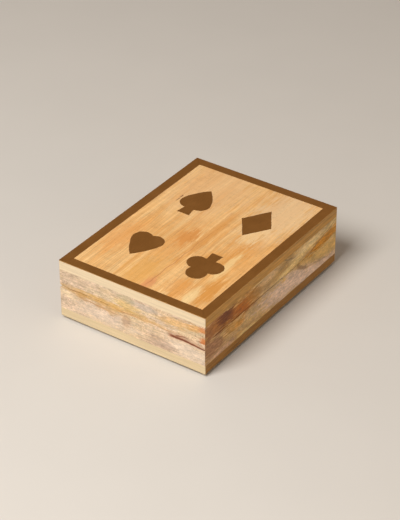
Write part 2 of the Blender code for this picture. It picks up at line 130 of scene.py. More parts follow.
class ChipCaseColours(bpy.types.PropertyGroup):
    """The main colours of the wood, the brass and the felt"""

    sapwood: colour("Sapwood", "The palest wood, on the panels' ends", 222, 200, 166)
    heartwood: colour("Heartwood", "The lid's golden wood", 226, 184, 127)
    honey: colour("Honey", "The orange streaks in the lid", 214, 152, 82)
    bark_brown: colour("Bark brown", "The darkest streaks", 96, 48, 30)
    spalt: colour("Spalt", "The pinkish grey that fungus leaves in the walls", 206, 180, 158)
    brass: colour("Inlay brass", "The aged brass of the inlays", 205, 156, 91)
    fittings: colour("Hinge brass", "The brighter brass of the hinges", 214, 176, 104)
    felt: colour("Felt", "The lining", 34, 66, 48)


class ChipCaseStage(bpy.types.PropertyGroup):
    """The lights and the room"""

    key_power: FloatProperty(
        name="Key light", description="Power of the large light at the left", default=47.5, unit="POWER"
    )
    fill_power: FloatProperty(
        name="Fill light", description="Power of the warm light in front", default=9, unit="POWER"
    )
    room: FloatProperty(
        name="Room", description="Brightness of the room round the case", default=0.29, min=0
    )
    walls: colour("Room's walls", "The room round the case", 255, 251, 247)
    screen: colour("Screen", "The warm screen at the far side", 255, 214, 171)
    floor: colour("Floor", "The plain floor", 205, 200, 193)


def sizes():
    return bpy.context.scene.chip_case_sizes


def colours():
    return bpy.context.scene.chip_case_colours


# ---------------------------------------------------------------- surfaces


def skin(rings, closed=False):
    """Points and faces of a profile carried along a path.

    rings has the shape (ring, point, 3). Each ring is a closed outline, and each is joined to the
    next. The ends are capped, unless the path is closed and the last ring is joined to the first.
    """
    count, around = rings.shape[:2]
    index = np.arange(count * around).reshape(count, around)
    ahead = np.roll(index, -1, axis=0) if closed else index[1:]
    here = index if closed else index[:-1]
    quads = np.stack([here, np.roll(here, -1, 1), np.roll(ahead, -1, 1), ahead], axis=-1)
    faces = quads.reshape(-1, 4).tolist()
    if not closed:
        faces += [index[0][::-1].tolist(), index[-1].tolist()]
    return rings.reshape(-1, 3), faces


def eased(corners, radii, steps=5):
    """A closed outline with each corner of a polygon turned into an arc of its own radius.

    An arc touches both sides of its corner at radius / tan(half the corner's angle) from it."""
    points = []
    for index, radius in enumerate(radii):
        before, here, after = (np.array(corners[(index + step) % len(corners)]) for step in (-1, 0, 1))
        to_before = (before - here) / np.linalg.norm(before - here)
        to_after = (after - here) / np.linalg.norm(after - here)
        half_angle = math.acos(np.clip(to_before @ to_after, -1, 1)) / 2
        inward = (to_before + to_after) / np.linalg.norm(to_before + to_after)
        centre = here + inward * radius / math.sin(half_angle)
        start = here + to_before * radius / math.tan(half_angle) - centre
        end = here + to_after * radius / math.tan(half_angle) - centre
        first = math.atan2(start[1], start[0])
        turn = math.remainder(math.atan2(end[1], end[0]) - first, 2 * math.pi)
        angles = first + turn * np.linspace(0, 1, steps)
        points.append(centre + radius * np.stack([np.cos(angles), np.sin(angles)], axis=1))
    return np.concatenate(points)


def rectangle(low_u, low_v, high_u, high_v):
    """The four corners, anticlockwise."""
    return [(low_u, low_v), (high_u, low_v), (high_u, high_v), (low_u, high_v)]


def wander(distance, amount, seed):
    """A hand's slight wandering along a line: a sum of sines, up to about amount either way."""
    waves = 7
    draw = np.random.default_rng(seed)
    pitches = draw.uniform(2.5, 22, waves)[:, None] * MM
    phases = draw.uniform(0, 2 * np.pi, waves)[:, None]
    return amount * np.sin(2 * np.pi * distance / pitches + phases).sum(0) / waves**0.5 / 1.5


def quarter_turned(points, turns):
    """Points turned about Z by a number of quarter turns."""
    cosine, sine = ((1, 0), (0, 1), (-1, 0), (0, -1))[turns]
    x, y, z = np.moveaxis(points, -1, 0)
    return np.stack([cosine * x - sine * y, sine * x + cosine * y, z], axis=-1)


def side_runs(side):
    """The length of the case along a side, and the distance across to the opposite one."""
    return (CASE_LENGTH, CASE_DEPTH) if side in ("front", "back") else (CASE_DEPTH, CASE_LENGTH)


def mitred_board(side, outline, corner, gap, inner_wander=None):
    """Rings of a board along one side, with its ends cut to a mitre and its outer corners eased.

    outline holds (depth from the outer face, height) points. Past x0 = half the run - corner the
    outer face follows an arc, so a point's depth is the greater of its own and
    corner - sqrt(corner^2 - (x - x0)^2). Its last x is where its depth meets the mitre plane.
    """
    run, across = side_runs(side)
    depth, height = outline.T
    tip = corner * (1 - math.sqrt(0.5))
    end = run / 2 - gap - np.maximum(depth, tip)
    back_off = (corner - tip) * np.linspace(0, 1, 5)[:, None]
    inner_end = end - back_off[-1]
    columns = 40  # between the two ends' eased corners
    spread = np.linspace(-1, 1, columns + 2)[1:-1, None]
    x = np.concatenate([back_off - end, spread * inner_end, end - back_off[::-1]])
    past = np.clip(np.abs(x) - (run / 2 - corner), 0, corner)
    depth = np.maximum(depth, corner - np.sqrt(corner**2 - past**2))
    if inner_wander:
        depth = depth - (depth > depth.max() / 2) * np.abs(inner_wander(x.ravel()).reshape(x.shape))
    points = np.stack([x, depth - across / 2, np.broadcast_to(height, x.shape)], axis=-1)
    return quarter_turned(points, SIDE_TURNS[side])


def plan_ring(inset, height, corner):
    """A ring round the case's plan, at an inset from its sides, with rounded corners."""
    half = np.array([CASE_LENGTH, CASE_DEPTH]) / 2 - inset
    radius = max(corner - inset, 0.05 * MM)
    return flat_ring(eased(rectangle(*-half, *half), [radius] * 4, steps=8), height)


def turned_rings(profile, centre, axis="Z", segments=48):
    """Rings of (radius, distance along the axis) points spun about an axis through a centre."""
    radius, along = np.array(profile).T
    angles = 2 * np.pi * np.arange(segments) / segments
    across_1 = radius[:, None] * np.cos(angles)
    across_2 = radius[:, None] * np.sin(angles)
    along = np.broadcast_to(along[:, None], across_1.shape)
    order = {"Z": (across_1, across_2, along), "X": (along, across_1, across_2)}[axis]
    return np.stack(order, axis=-1) + np.asarray(centre)


def flat_ring(outline, height):
    """A plan outline as a ring of points at one height."""
    return np.column_stack([outline, np.full(len(outline), height)])


def slab(outline, bottom, top, ease=0.0):
    """Rings of an outline raised from bottom to top, drawn in by an arc of radius ease at the top."""
    angles = np.linspace(0, np.pi / 2, 4) if ease else np.zeros(1)
    levels = [(ease * (1 - math.cos(a)), top - ease * (1 - math.sin(a))) for a in angles]
    return np.stack([flat_ring(grown(outline, -inset), z) for inset, z in [(0, bottom), *levels]])


def grown(outline, margin):
    """An anticlockwise outline moved outwards along its normals by a margin, or by one for each point."""
    margin = np.broadcast_to(margin, len(outline))[:, None]
    edge = np.roll(outline, -1, axis=0) - outline
    normal = np.column_stack([edge[:, 1], -edge[:, 0]]) / np.linalg.norm(edge, axis=1)[:, None]
    total = normal + np.roll(normal, 1, axis=0)
    return outline + 2 * margin * total / (total**2).sum(1)[:, None]


def distances(outline):
    """How far each point of a closed outline is along it, and after them the whole way round."""
    steps = np.linalg.norm(np.roll(outline, -1, axis=0) - outline, axis=1)
    return np.concatenate([[0], np.cumsum(steps)])


def resampled(outline, count):
    """A closed outline with its points spread evenly along it."""
    distance = distances(outline)
    places = np.arange(count) * distance[-1] / count
    closed = np.concatenate([outline, outline[:1]])
    return np.column_stack([np.interp(places, distance, closed[:, axis]) for axis in (0, 1)])


def softened(outline, radius, spacing=0.25 * MM):
    """A closed outline resampled at even steps, its corners rounded by a Gaussian mean along it."""
    count = int(distances(outline)[-1] / spacing)
    deviation = 0.45 * radius
    waves = np.fft.fftfreq(count, spacing)
    keep = np.exp(-2 * (np.pi * waves * deviation) ** 2)[:, None]
    return np.real(np.fft.ifft(np.fft.fft(resampled(outline, count), axis=0) * keep, axis=0))


# ---------------------------------------------------------------- pieces


def add_object(name, data):
    """A new object of a mesh, a light or a camera, linked into the scene."""
    item = bpy.data.objects.new(name, data)
    bpy.context.scene.collection.objects.link(item)
    return item


def mesh_of(name, surface, merge=False):
    """A mesh of a (points, faces) surface, its faces turned outwards. It may merge points that meet."""
    points, faces = surface
    mesh = bpy.data.meshes.new(name)
    mesh.from_pydata(points.tolist(), [], faces)
    work = bmesh.new()
    work.from_mesh(mesh)
    if merge:
        bmesh.ops.remove_doubles(work, verts=work.verts, dist=0.0005 * MM)
    bmesh.ops.recalc_face_normals(work, faces=work.faces)
    work.to_mesh(mesh)
    work.free()
    return mesh


def make_piece(name, surface, finish, body, nodes=(), sharp=40):
    """A mesh object of a (points, faces) surface, in place of CAD nodes, riding on a body."""
    piece = add_object(name, mesh_of(name, surface, merge=True))
    smooth(piece, sharp)
    piece.data.materials.append(finish)
    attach(piece, body)
    if nodes:
        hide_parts(*nodes)
    return piece


def smooth(piece, sharp=40):
    """Smooth shading that leaves large flat faces flat and keeps edges over an angle sharp."""
    piece.data.shade_smooth()
    piece.data.set_sharp_from_angle(angle=math.radians(sharp))
    modifier = piece.modifiers.new("Flat faces", "WEIGHTED_NORMAL")
    modifier.keep_sharp = True


def combine(piece, surfaces, operation):
    """Joins surfaces to a piece or cuts them from it, and keeps only the result."""
    piece.modifiers.clear()
    for surface in surfaces:
        tool = add_object("tool", mesh_of("tool", surface))
        modifier = piece.modifiers.new("Boolean", "BOOLEAN")
        modifier.operation = operation
        modifier.solver = "EXACT"
        modifier.object = tool
        bpy.context.view_layer.update()
        graph = bpy.context.evaluated_depsgraph_get()
        result = bpy.data.meshes.new_from_object(piece.evaluated_get(graph))
        piece.modifiers.clear()
        result.name = piece.name
        piece.data = result
        bpy.data.objects.remove(tool)
    smooth(piece)


# ---------------------------------------------------------------- shader maths


class Wire:
    """A number on its way through a material's nodes. Python's operators add Math nodes to it."""

    def __init__(self, nodes, socket):
        self.nodes = nodes
        self.socket = socket

    def maths(self, operation, *others, swap=False):
        values = (*others, self) if swap else (self, *others)
        return self.nodes.add("Math", {"operation": operation}, dict(enumerate(values)))

    def __add__(self, other):
        return self.maths("ADD", other)

    __radd__ = __add__

    def __sub__(self, other):
        return self.maths("SUBTRACT", other)

    def __rsub__(self, other):
        return self.maths("SUBTRACT", other, swap=True)

    def __mul__(self, other):
        return self.maths("MULTIPLY", other)

    __rmul__ = __mul__

    def __truediv__(self, other):
        return self.maths("DIVIDE", other)

    def __pow__(self, other):
        return self.maths("POWER", other)

    def __abs__(self):
        return self.maths("ABSOLUTE")

    def within(self, start, end):
        """0 at start and before it, 1 at end and past it, and smooth between them."""
        settings = {"interpolation_type": "SMOOTHSTEP"}
        return self.nodes.add("MapRange", settings, {0: self, 1: start, 2: end, 3: 0.0, 4: 1.0})


class Nodes:
    """A node tree, and short ways to add nodes to it."""

    def __init__(self, tree):
        self.tree = tree

    def node(self, kind, settings=None, inputs=None):
        """Adds a node of any type, with its settings first and then its inputs' values or links."""
        node = self.tree.nodes.new("ShaderNode" + kind)
        for key, value in (settings or {}).items():
            setattr(node, key, value)
        for key, value in (inputs or {}).items():
            self.feed(node.inputs[key], value)
        return node

    def add(self, kind, settings=None, inputs=None, output=0):
        return Wire(self, self.node(kind, settings, inputs).outputs[output])

    def feed(self, socket, value):
        if isinstance(value, Wire):
            self.tree.links.new(value.socket, socket)
        elif socket.type == "RGBA":
            socket.default_value = (*value, 1)
        else:
            socket.default_value = value

    def vector(self, x, y, z):
        return self.add("CombineXYZ", inputs={0: x, 1: y, 2: z})

    def noise(self, place, detail=2.0, roughness=0.5, distortion=0.0):
        """Noise about one cell to a unit, from 0 to 1."""
        inputs = {"Vector": place, "Scale": 1.0, "Detail": detail, "Roughness": roughness}
        return self.add("TexNoise", {}, {**inputs, "Distortion": distortion})

    def mix(self, share, first, second, blend="MIX"):
        """first where share is 0, and second where it is 1."""
        settings = {"data_type": "RGBA", "blend_type": blend, "clamp_factor": True}
        return self.add("Mix", settings, {0: share, 6: first, 7: second}, output=2)

    def tint(self, base, level):
        """A colour made darker or lighter by a number that is 1 where it stays as it is."""
        return self.mix(1.0, base, self.vector(level, level, level), "MULTIPLY")


class Finish(Nodes):
    """A material and the nodes that feed its shader. Lengths in its patterns are in millimetres."""

    def __init__(self, name):
        self.material = bpy.data.materials.new(name)
        self.material.use_nodes = True
        super().__init__(self.material.node_tree)
        self.shader = self.tree.nodes["Principled BSDF"]
        place = self.add("TexCoord", output="Object")
        scaled = self.add("VectorMath", {"operation": "SCALE"}, {0: place, 3: 1 / MM})
        parts = self.node("SeparateXYZ", inputs={0: scaled})
        self.x, self.y, self.z = (Wire(self, parts.outputs[axis]) for axis in "XYZ")

    def cells(self, in_x, in_y, in_z, detail=2.0, roughness=0.5, distortion=0.0):
        """Noise with cells of these sizes."""
        place = self.vector(self.x / in_x, self.y / in_y, self.z / in_z)
        return self.noise(place, detail, roughness, distortion)

    def cloud(self, size, detail=2.0, roughness=0.5, distortion=0.0):
        """Noise with cells of this size every way."""
        return self.cells(size, size, size, detail, roughness, distortion)

    def bump(self, height, depth):
        """Relief of a height from 0 to 1 that stands for a depth in metres."""
        inputs = {"Strength": 1.0, "Distance": depth, "Height": height}
        return self.add("Bump", {}, inputs, output="Normal")

    def surface(self, **values):
        """Sets or links the shader's own sockets."""
        for name, value in values.items():
            self.feed(self.shader.inputs[name.replace("_", " ")], value)
        return self.material


# ---------------------------------------------------------------- wood


class Board:
    """Places on a board: how far along its grain and across it, and how deep, in millimetres.

    Its growth bends the grain a little, and every patch and streak on it shares the same raggedness.
    """

    def __init__(self, finish, grain, seed, bend=3.0):
        self.finish = finish
        self.seed = seed
        self.along, self.across, self.depth = {
            "length": (finish.x, finish.y, finish.z),
            "length, on a wall": (finish.x, finish.z, finish.y),
            "depth, on a wall": (finish.y, finish.z, finish.x),
        }[grain]
        self.straight = self.across
        self.across = self.across + (self.pattern(75, 28, shift=3.3) - 0.5) * (2 * bend)
        self.ragged = self.pattern(13, 1.9, 4.0, 0.68, shift=14.1) - 0.5
        self.waver = self.pattern(13, 60, 2.0, shift=6.4) - 0.5
        self.fibre = self.pattern(24, 0.42, 2.0, 0.6, shift=9.7) - 0.5

    def pattern(self, along, across, detail=2.0, roughness=0.5, shift=0.0):
        """Noise drawn out along the grain, with cells of these lengths."""
        place = self.finish.vector(
            self.along / along + (self.seed + shift), self.across / across, self.depth / across
        )
        return self.finish.noise(place, detail, roughness)

    def patch(self, along, across, half_length, half_width, slope=0.0):
        """1 in the middle of an ellipse, which may slope, and 0 past its edge, torn along the fibres."""
        tearing, soft = 3.2, 0.9
        along_off = (self.along - along) / half_length
        across_off = (self.straight - across - (self.along - along) * slope) / half_width
        distance = (along_off * along_off + across_off * across_off) ** 0.5
        return (distance + self.ragged * tearing).within(1 + soft / 2, 1 - soft / 2)

    def streak(self, start, end, across, thickness, slope=0.0, waver=4.0):
        """1 on a line along the grain that wavers, thins towards its end and fades at both."""
        line = across + (self.along - start) * slope
        share = (self.along - start) / (end - start)
        fade = share.within(-0.02, 0.1) * share.within(1.05, 0.8)
        half = thickness * (1.15 - 0.75 * share)
        return (abs(self.straight - line + self.waver * waver) / half).within(1.1, 0.4) * fade


def grain(board, pale, deep, contrast=1.0):
    """The ground of every board: growth bands, clouds, streaks, fine fibre and a faint cross curl."""
    finish = board.finish
    bands = board.pattern(150, 6.5, 3.0, 0.6)
    clouds = board.pattern(60, 24, 2.0, shift=11.7)
    lines = board.pattern(60, 1.5, 3.0, 0.6, shift=5.1) - 0.5
    curl = board.pattern(4.5, 22, 2.0, shift=31.0) - 0.5
    share = (bands * 0.7 + clouds * 0.5).within(0.44, 0.76)
    level = (lines * 0.7 + board.fibre * 0.7 + curl * 0.3) * contrast + 1.0
    return finish.tint(finish.mix(share, pale, deep), level)


def pores(board, ground, dark, amount=1.0):
    """The ground with open pores, dashes a few millimetres long and a fifth wide, and their mask."""
    cells = board.pattern(3.4, 0.19, 1.0, shift=21.3)
    sparse = board.pattern(14, 3.0, 1.0, shift=8.8)
    mask = cells.within(0.62, 0.7) * sparse.within(0.38, 0.58)
    return board.finish.mix(mask * (0.55 * amount), ground, dark), mask


def lacquered(board, ground, holes):
    """A thin satin lacquer over wood: even gloss, dulled in the pores, and faint relief."""
    finish = board.finish
    return finish.surface(
        Base_Color=ground,
        Roughness=board.fibre * 0.25 + holes * 0.2 + 0.44,
        Normal=finish.bump(board.fibre * 0.6 - holes, 0.035 * MM),
        Specular_IOR_Level=0.22,
    )


def edge_bands(board, ground, end_shade, side_shade):
    """The ground with the pale end grain, and a darker band on the long sides, of a panel's outer edges.
    On the base panel the darker band is painted shade.
    """
    finish = board.finish
    half_length, half_depth = CASE_LENGTH / MM / 2, CASE_DEPTH / MM / 2
    rings = board.pattern(200, 1.1, 3.0, 0.6, shift=13.0) - 0.5
    arcs = finish.cells(9, 38, 1.3, 3.0, 0.6) - 0.5
    specks = finish.cells(0.5, 0.9, 0.4) - 0.5
    side = finish.tint(side_shade, rings * 1.5 + board.fibre * 0.6 + board.ragged * 0.8 + 1.0)
    end = finish.tint(end_shade, arcs * 0.5 + specks * 0.3 + 1.0)
    # The edge's colour starts at one distance inside the face, and is full at a smaller one.
    starts, full = 0.9, 0.4
    ground = finish.mix(abs(finish.y).within(half_depth - starts, half_depth - full), ground, side)
    return finish.mix(abs(finish.x).within(half_length - starts, half_length - full), ground, end)


def lid_panel_finish():
    """Golden mango wood: tan, with honey streaks along it and a few paler and pinker parts."""
    tones = colours()
    finish = Finish("golden_mango_wood")
    board = Board(finish, "length", seed=4.2)
    ground = grain(board, tones.heartwood, tone(216, 162, 98))
    honeyed = board.pattern(80, 3.0, 3.0, 0.6, shift=17.0).within(0.5, 0.68)
    ground = finish.mix(honeyed * 0.35, ground, tones.honey)
    ground = patches(
        (-12, 6, 17, 7, 0.0, tone(200, 126, 56), 0.8),
        (-16, 9, 46, 9, 0.0, tone(214, 152, 84), 0.4),
        (4, -9, 52, 5, 0.0, tone(204, 140, 70), 0.6),
        (-2, -50, 38, 11, 0.0, tone(210, 142, 66), 0.6),
        (-76, -60, 24, 9, 0.0, tone(204, 136, 56), 0.75),
        (-86, -36, 14, 11, 0.0, tone(208, 138, 62), 0.55),
        (-44, 58, 30, 12, 0.0, tone(216, 150, 84), 0.5),
        (-82, 8, 26, 15, 0.0, tone(214, 158, 78), 0.5),
        (-30, -36, 10, 12, 0.0, tone(214, 152, 76), 0.4),
        (70, -46, 54, 24, 0.0, tone(224, 192, 150), 0.65),
        (72, 34, 50, 36, 0.0, tone(222, 182, 136), 0.5),
        (26, -44, 20, 10, 0.0, tone(236, 204, 152), 0.5),
        (-34, -52, 26, 4, 0.03, tone(238, 210, 152), 0.6),
        (-96, -8, 12, 5, 0.0, tone(212, 140, 104), 0.5),
        (-92, -52, 16, 5, 0.0, tone(238, 212, 158), 0.6),
    )(board, ground)
    ground = streaks(
        (-104, 20, -7.5, 0.8, -0.01, tone(176, 112, 66), 0.6),
        (-60, 40, -22.0, 0.6, 0.0, tone(184, 122, 66), 0.5),
        (-100, -20, -27.0, 0.6, 0.02, tone(190, 128, 72), 0.5),
        (-20, 60, 19.0, 0.6, 0.0, tone(190, 130, 80), 0.45),
    )(board, ground)
    ground, holes = pores(board, ground, tone(120, 74, 40))
    dashes = board.pattern(2.2, 1.0, 1.0).within(0.4, 0.5)
    fleck = board.streak(46, 33, 52.5, 0.9, 0.0, 2.0) * dashes
    ground = finish.mix(fleck * 0.9, ground, tones.bark_brown)
    ground = edge_bands(board, ground, tones.sapwood, tone(184, 136, 64))
    return lacquered(board, ground, holes)


def base_panel_finish():
    """Plain pale mango wood for the bottom board, a little darker at its edges than the lid's: the band on
    its long sides is painted shade.
    """
    finish = Finish("plain_mango_wood")
    board = Board(finish, "length", seed=9.6)
    ground = grain(board, colours().sapwood, tone(220, 190, 138), 0.6)
    ground, holes = pores(board, ground, tone(150, 104, 62), 0.6)
    # The long sides' band is much darker than the lid's: painted shade low on the case.
    ground = edge_bands(board, ground, tone(213, 190, 151), tone(152, 106, 44))
    return lacquered(board, ground, holes)


def spalted(board, ground, amount):
    """The mottling of spalted wood: pinkish grey clouds full of short dark worms and pale flecks.

    A worm is a contour line of noise, where the noise is within a small distance of its middle."""
    finish = board.finish
    clouds = board.pattern(36, 12, 3.0, 0.6, shift=41.0).within(0.36, 0.58)
    mottle = board.pattern(4.6, 2.3, 3.0, 0.65, shift=27.0)
    specks = board.pattern(1.7, 1.0, 2.0, 0.6, shift=55.0) - 0.5
    worms = abs(board.pattern(3.0, 1.7, 1.0, shift=63.0) - 0.5).within(0.045, 0.01)
    worms = worms * board.pattern(9, 5, 1.0, shift=70.0).within(0.4, 0.55)
    grey = finish.tint(colours().spalt, (mottle - 0.5) * 1.9 + specks * 0.6 + 1.0)
    ground = finish.mix((clouds * 0.7 + 0.3) * amount, ground, grey)
    return finish.mix(worms * (0.8 * amount), ground, tone(150, 114, 92))


def wall_finish(name, grain_runs, *features, seed, pale, deep, spalting, mottling):
    """Spalted mango wood for one side's walls. The lid's and the base's share its figure.

    A feature is a function that takes the board and its ground, and returns the ground with more."""
    finish = Finish(name)
    board = Board(finish, grain_runs, seed, bend=1.6)
    ground = grain(board, pale, deep)
    ground = spalted(board, ground, spalting)
    for feature in features:
        ground = feature(board, ground)
    speckle = board.pattern(3.4, 1.6, 4.0, 0.7, shift=82.0) - 0.5
    blotches = board.pattern(13, 6, 2.0, shift=90.0) - 0.5
    level = speckle * 1.1 + blotches * 0.7 + board.ragged * 0.8
    ground = finish.tint(ground, level * mottling + 1.0)
    ground, holes = pores(board, ground, tone(104, 70, 46), 0.8)
    return lacquered(board, ground, holes)


def patches(*rows):
    """A feature of coloured patches: (along, height, half length, half height, slope, colour, share)."""

    def feature(board, ground):
        for along, height, half_length, half_width, slope, shade, share in rows:
            mask = board.patch(along, height, half_length, half_width, slope)
            ground = board.finish.mix(mask * share, ground, shade)
        return ground

    return feature


def streaks(*rows):
    """A feature of dark or pale lines: (start, end, height, thickness, slope, colour, share)."""

    def feature(board, ground):
        for start, end, height, thickness, slope, shade, share in rows:
            mask = board.streak(start, end, height, thickness, slope)
            ground = board.finish.mix(mask * share, ground, shade)
        return ground

    return feature


def left_wall_finish():
    """The brightest side: pinkish grey, a yellow-brown streak at the seam, a red one near the front."""
    mustard, rust = tone(208, 164, 92), tone(200, 122, 66)
    return wall_finish(
        "spalted_wood_left",
        "depth, on a wall",
        patches(
            (-62, 20, 24, 9.0, 0.0, tone(232, 212, 190), 0.6),
            (26, 21, 34, 8.0, 0.0, tone(224, 204, 184), 0.5),
            (44, 37.5, 38, 4.0, 0.0, mustard, 0.6),
            (58, 35, 8, 4.5, 0.0, tone(186, 138, 72), 0.6),
            (36, 34, 5, 6.0, 0.0, tone(196, 150, 90), 0.55),
            (22, 34, 9, 6.0, 0.0, tone(200, 154, 88), 0.55),
            (2, 37.5, 44, 3.2, 0.02, tone(212, 168, 96), 0.6),
            (4, 44, 15, 4.5, 0.06, tone(222, 182, 102), 0.55),
            (-52, 47, 22, 4.5, -0.1, tone(218, 168, 96), 0.6),
            (-72, 50, 10, 3.5, 0.0, tone(214, 158, 84), 0.6),
            (-80, 51, 5, 4.0, 0.0, rust, 0.7),
            (-81, 39, 4.5, 3.2, 0.0, rust, 0.95),
            (4, 51, 11, 3.5, 0.2, tone(172, 158, 120), 0.6),
            (-16, 50, 14, 3.0, 0.0, tone(196, 182, 168), 0.5),
            (60, 49, 20, 4.5, 0.0, tone(196, 170, 142), 0.5),
            (-32, 17, 19, 6.5, 0.05, tone(176, 146, 124), 0.6),
            (6, 27, 5, 9.0, 0.0, tone(190, 148, 112), 0.55),
            (-60, 34, 20, 2.6, 0.06, tone(192, 150, 118), 0.5),
        ),
        streaks(
            (-40, -88, 31.9, 2.6, 0.028, tone(180, 122, 88), 0.7),
            (-42, -90, 31.7, 1.4, 0.028, tone(112, 54, 30), 0.95),
            (-49, -64, 33.4, 1.1, -0.13, tone(136, 76, 48), 0.8),
            (78, 20, 36.9, 0.6, 0.0, tone(150, 104, 62), 0.6),
            (20, -48, 36.2, 0.7, 0.01, tone(176, 118, 72), 0.5),
            (60, 10, 31.5, 1.1, 0.02, tone(178, 124, 70), 0.5),
        ),
        seed=2.7,
        pale=tone(230, 206, 164),
        deep=tone(217, 187, 145),
        spalting=0.72,
        mottling=0.85,
    )


def front_wall_finish():
    """The side in shade: olive and tan, with a purple-brown patch, orange beside it and a pale tongue. The
    figure is the wood's own, but the ground and most patches are painted darker and warmer than the wood,
    as painted shade.
    """
    # Many of these colours are darker and warmer than the wood itself: painted shade with a warm cast,
    # over the wood's own figure.
    plum, orange, olive = tone(124, 62, 0), tone(176, 98, 0), tone(212, 172, 100)
    blush, straw = tone(228, 198, 176), tone(232, 200, 134)
    return wall_finish(
        "spalted_wood_front_with_painted_shade",
        "length, on a wall",
        patches(
            (-98, 46, 26, 10.0, 0.0, tone(160, 94, 34), 0.85),
            (-60, 44, 34, 9.5, 0.0, tone(174, 108, 16), 0.9),
            (-83, 49, 9, 7.0, 0.0, plum, 0.95),
            (-73, 48, 9, 7.0, 0.0, plum, 0.95),
            (-50, 43, 17, 7.0, 0.0, orange, 1.0),
            (-32, 45, 14, 7.0, 0.0, tone(170, 122, 48), 0.6),
            (-66, 30, 15, 5.0, 0.0, tone(192, 136, 50), 0.7),
            (-58, 27, 8, 4.0, 0.0, tone(214, 148, 56), 0.7),
            (-102, 27, 18, 10.0, 0.0, tone(158, 110, 76), 0.85),
            (-84, 15, 22, 2.6, 0.0, tone(212, 168, 142), 0.6),
            (-44, 13.2, 16, 2.0, 0.0, straw, 0.8),
            (-4, 51, 15, 5.0, 0.05, tone(216, 180, 132), 0.85),
            (14, 44, 34, 3.4, -0.02, tone(192, 152, 92), 0.6),
            (22, 50, 20, 3.6, -0.1, tone(182, 144, 88), 0.6),
            (34, 42, 34, 3.6, 0.17, straw, 0.9),
            (62, 49.5, 26, 3.6, 0.02, tone(238, 208, 152), 0.8),
            (28, 23, 46, 11.0, -0.06, blush, 0.95),
            (74, 15, 40, 4.5, -0.03, blush, 0.85),
            (84, 30, 36, 7.0, -0.14, olive, 0.9),
            (92, 41, 30, 5.5, 0.1, tone(204, 136, 16), 1.0),
            (100, 50, 16, 3.0, 0.2, straw, 0.6),
        ),
        streaks(
            (64, 116, 38.6, 0.9, 0.3, tone(120, 76, 34), 0.7),
            (40, 60, 34.5, 3.4, -0.5, tone(146, 104, 60), 0.6),
            (50, 106, 26.5, 1.1, -0.2, tone(150, 106, 62), 0.4),
            (18, 40, 55.0, 0.9, -0.34, tone(130, 112, 84), 0.6),
            (-112, 60, 36.9, 0.7, 0.0, tone(112, 68, 34), 0.6),
            (-64, -60, 50, 1.2, 0.0, tone(190, 146, 80), 0.5),
        ),
        seed=6.1,
        # The ground's two colours are darker and warmer than the other walls' wood: painted shade.
        pale=tone(209, 172, 94),
        deep=tone(181, 135, 58),
        spalting=0.3,
        mottling=1.25,
    )


def right_wall_finish():
    """A quieter side, with one brown cloud and a few mustard lines."""
    return wall_finish(
        "spalted_wood_right",
        "depth, on a wall",
        patches(
            (-58, 46, 26, 5, 0.0, tone(206, 140, 66), 0.7),
            (-30, 26, 36, 8, 0.03, tone(222, 192, 170), 0.7),
            (34, 33, 26, 5, -0.04, tone(176, 130, 86), 0.7),
            (62, 50, 18, 4, 0.0, tone(150, 100, 76), 0.7),
            (10, 48, 24, 4, 0.04, tone(226, 190, 130), 0.6),
            (66, 19, 20, 5, 0.0, tone(206, 150, 84), 0.5),
        ),
        streaks(
            (-82, 20, 40, 0.9, 0.02, tone(138, 92, 54), 0.6),
            (70, 0, 24, 1.1, 0.03, tone(160, 108, 62), 0.6),
        ),
        seed=13.4,
        pale=tone(224, 192, 146),
        deep=tone(206, 166, 116),
        spalting=0.45,
        mottling=1.3,
    )


def back_wall_finish():
    """The hinge side, with long straw and brown streaks."""
    return wall_finish(
        "spalted_wood_back",
        "length, on a wall",
        patches(
            (-70, 25, 46, 9, 0.03, tone(224, 192, 170), 0.7),
            (10, 46, 52, 6, -0.02, tone(206, 146, 72), 0.6),
            (76, 24, 36, 7, 0.05, tone(182, 138, 90), 0.7),
            (90, 48, 20, 5, 0.0, tone(142, 92, 70), 0.7),
            (-36, 49, 34, 5, 0.02, tone(230, 200, 148), 0.7),
            (20, 18, 40, 4, 0.02, tone(232, 206, 160), 0.5),
        ),
        streaks(
            (-110, 10, 21, 1.0, 0.01, tone(140, 92, 56), 0.6),
            (110, 20, 31, 0.9, -0.03, tone(128, 80, 50), 0.6),
        ),
        seed=18.9,
        pale=tone(220, 186, 138),
        deep=tone(198, 156, 104),
        spalting=0.35,
        mottling=1.3,
    )


def inside_wood_finish():
    """Plain mango wood, sanded and left without lacquer, for the rack and the divider."""
    finish = Finish("sanded_mango_wood")
    board = Board(finish, "length", seed=25.5)
    ground = grain(board, tone(222, 184, 132), tone(200, 152, 98))
    ground, holes = pores(board, ground, tone(128, 82, 46))
    return finish.surface(
        Base_Color=ground,
        Roughness=board.fibre * 0.2 + 0.62,
        Normal=finish.bump(board.fibre * 0.6 - holes, 0.04 * MM),
        Specular_IOR_Level=0.3,
    )


# ---------------------------------------------------------------- metal, felt, glue and rubber


def inlay_brass_finish():
    """Sheet brass let into wood and sanded flush: brown with age, with a fine grain and dull patches."""
    finish = Finish("aged_brass")
    lines = finish.cells(9, 0.22, 1, 3.0, 0.7)
    dull = finish.cells(17, 14, 14, 4.0, 0.6)
    tarnish = dull.within(0.42, 0.68)
    ground = finish.mix(tarnish * 0.35, colours().brass, tone(186, 134, 74))
    ground = finish.tint(ground, (lines - 0.5) * 0.8 + (dull - 0.5) * 0.2 + 1.0)
    return finish.surface(
        Base_Color=ground,
        Metallic=1.0,
        Roughness=tarnish * 0.1 + (lines - 0.5) * 0.14 + 0.36,
        Normal=finish.bump(lines, 0.006 * MM),
    )


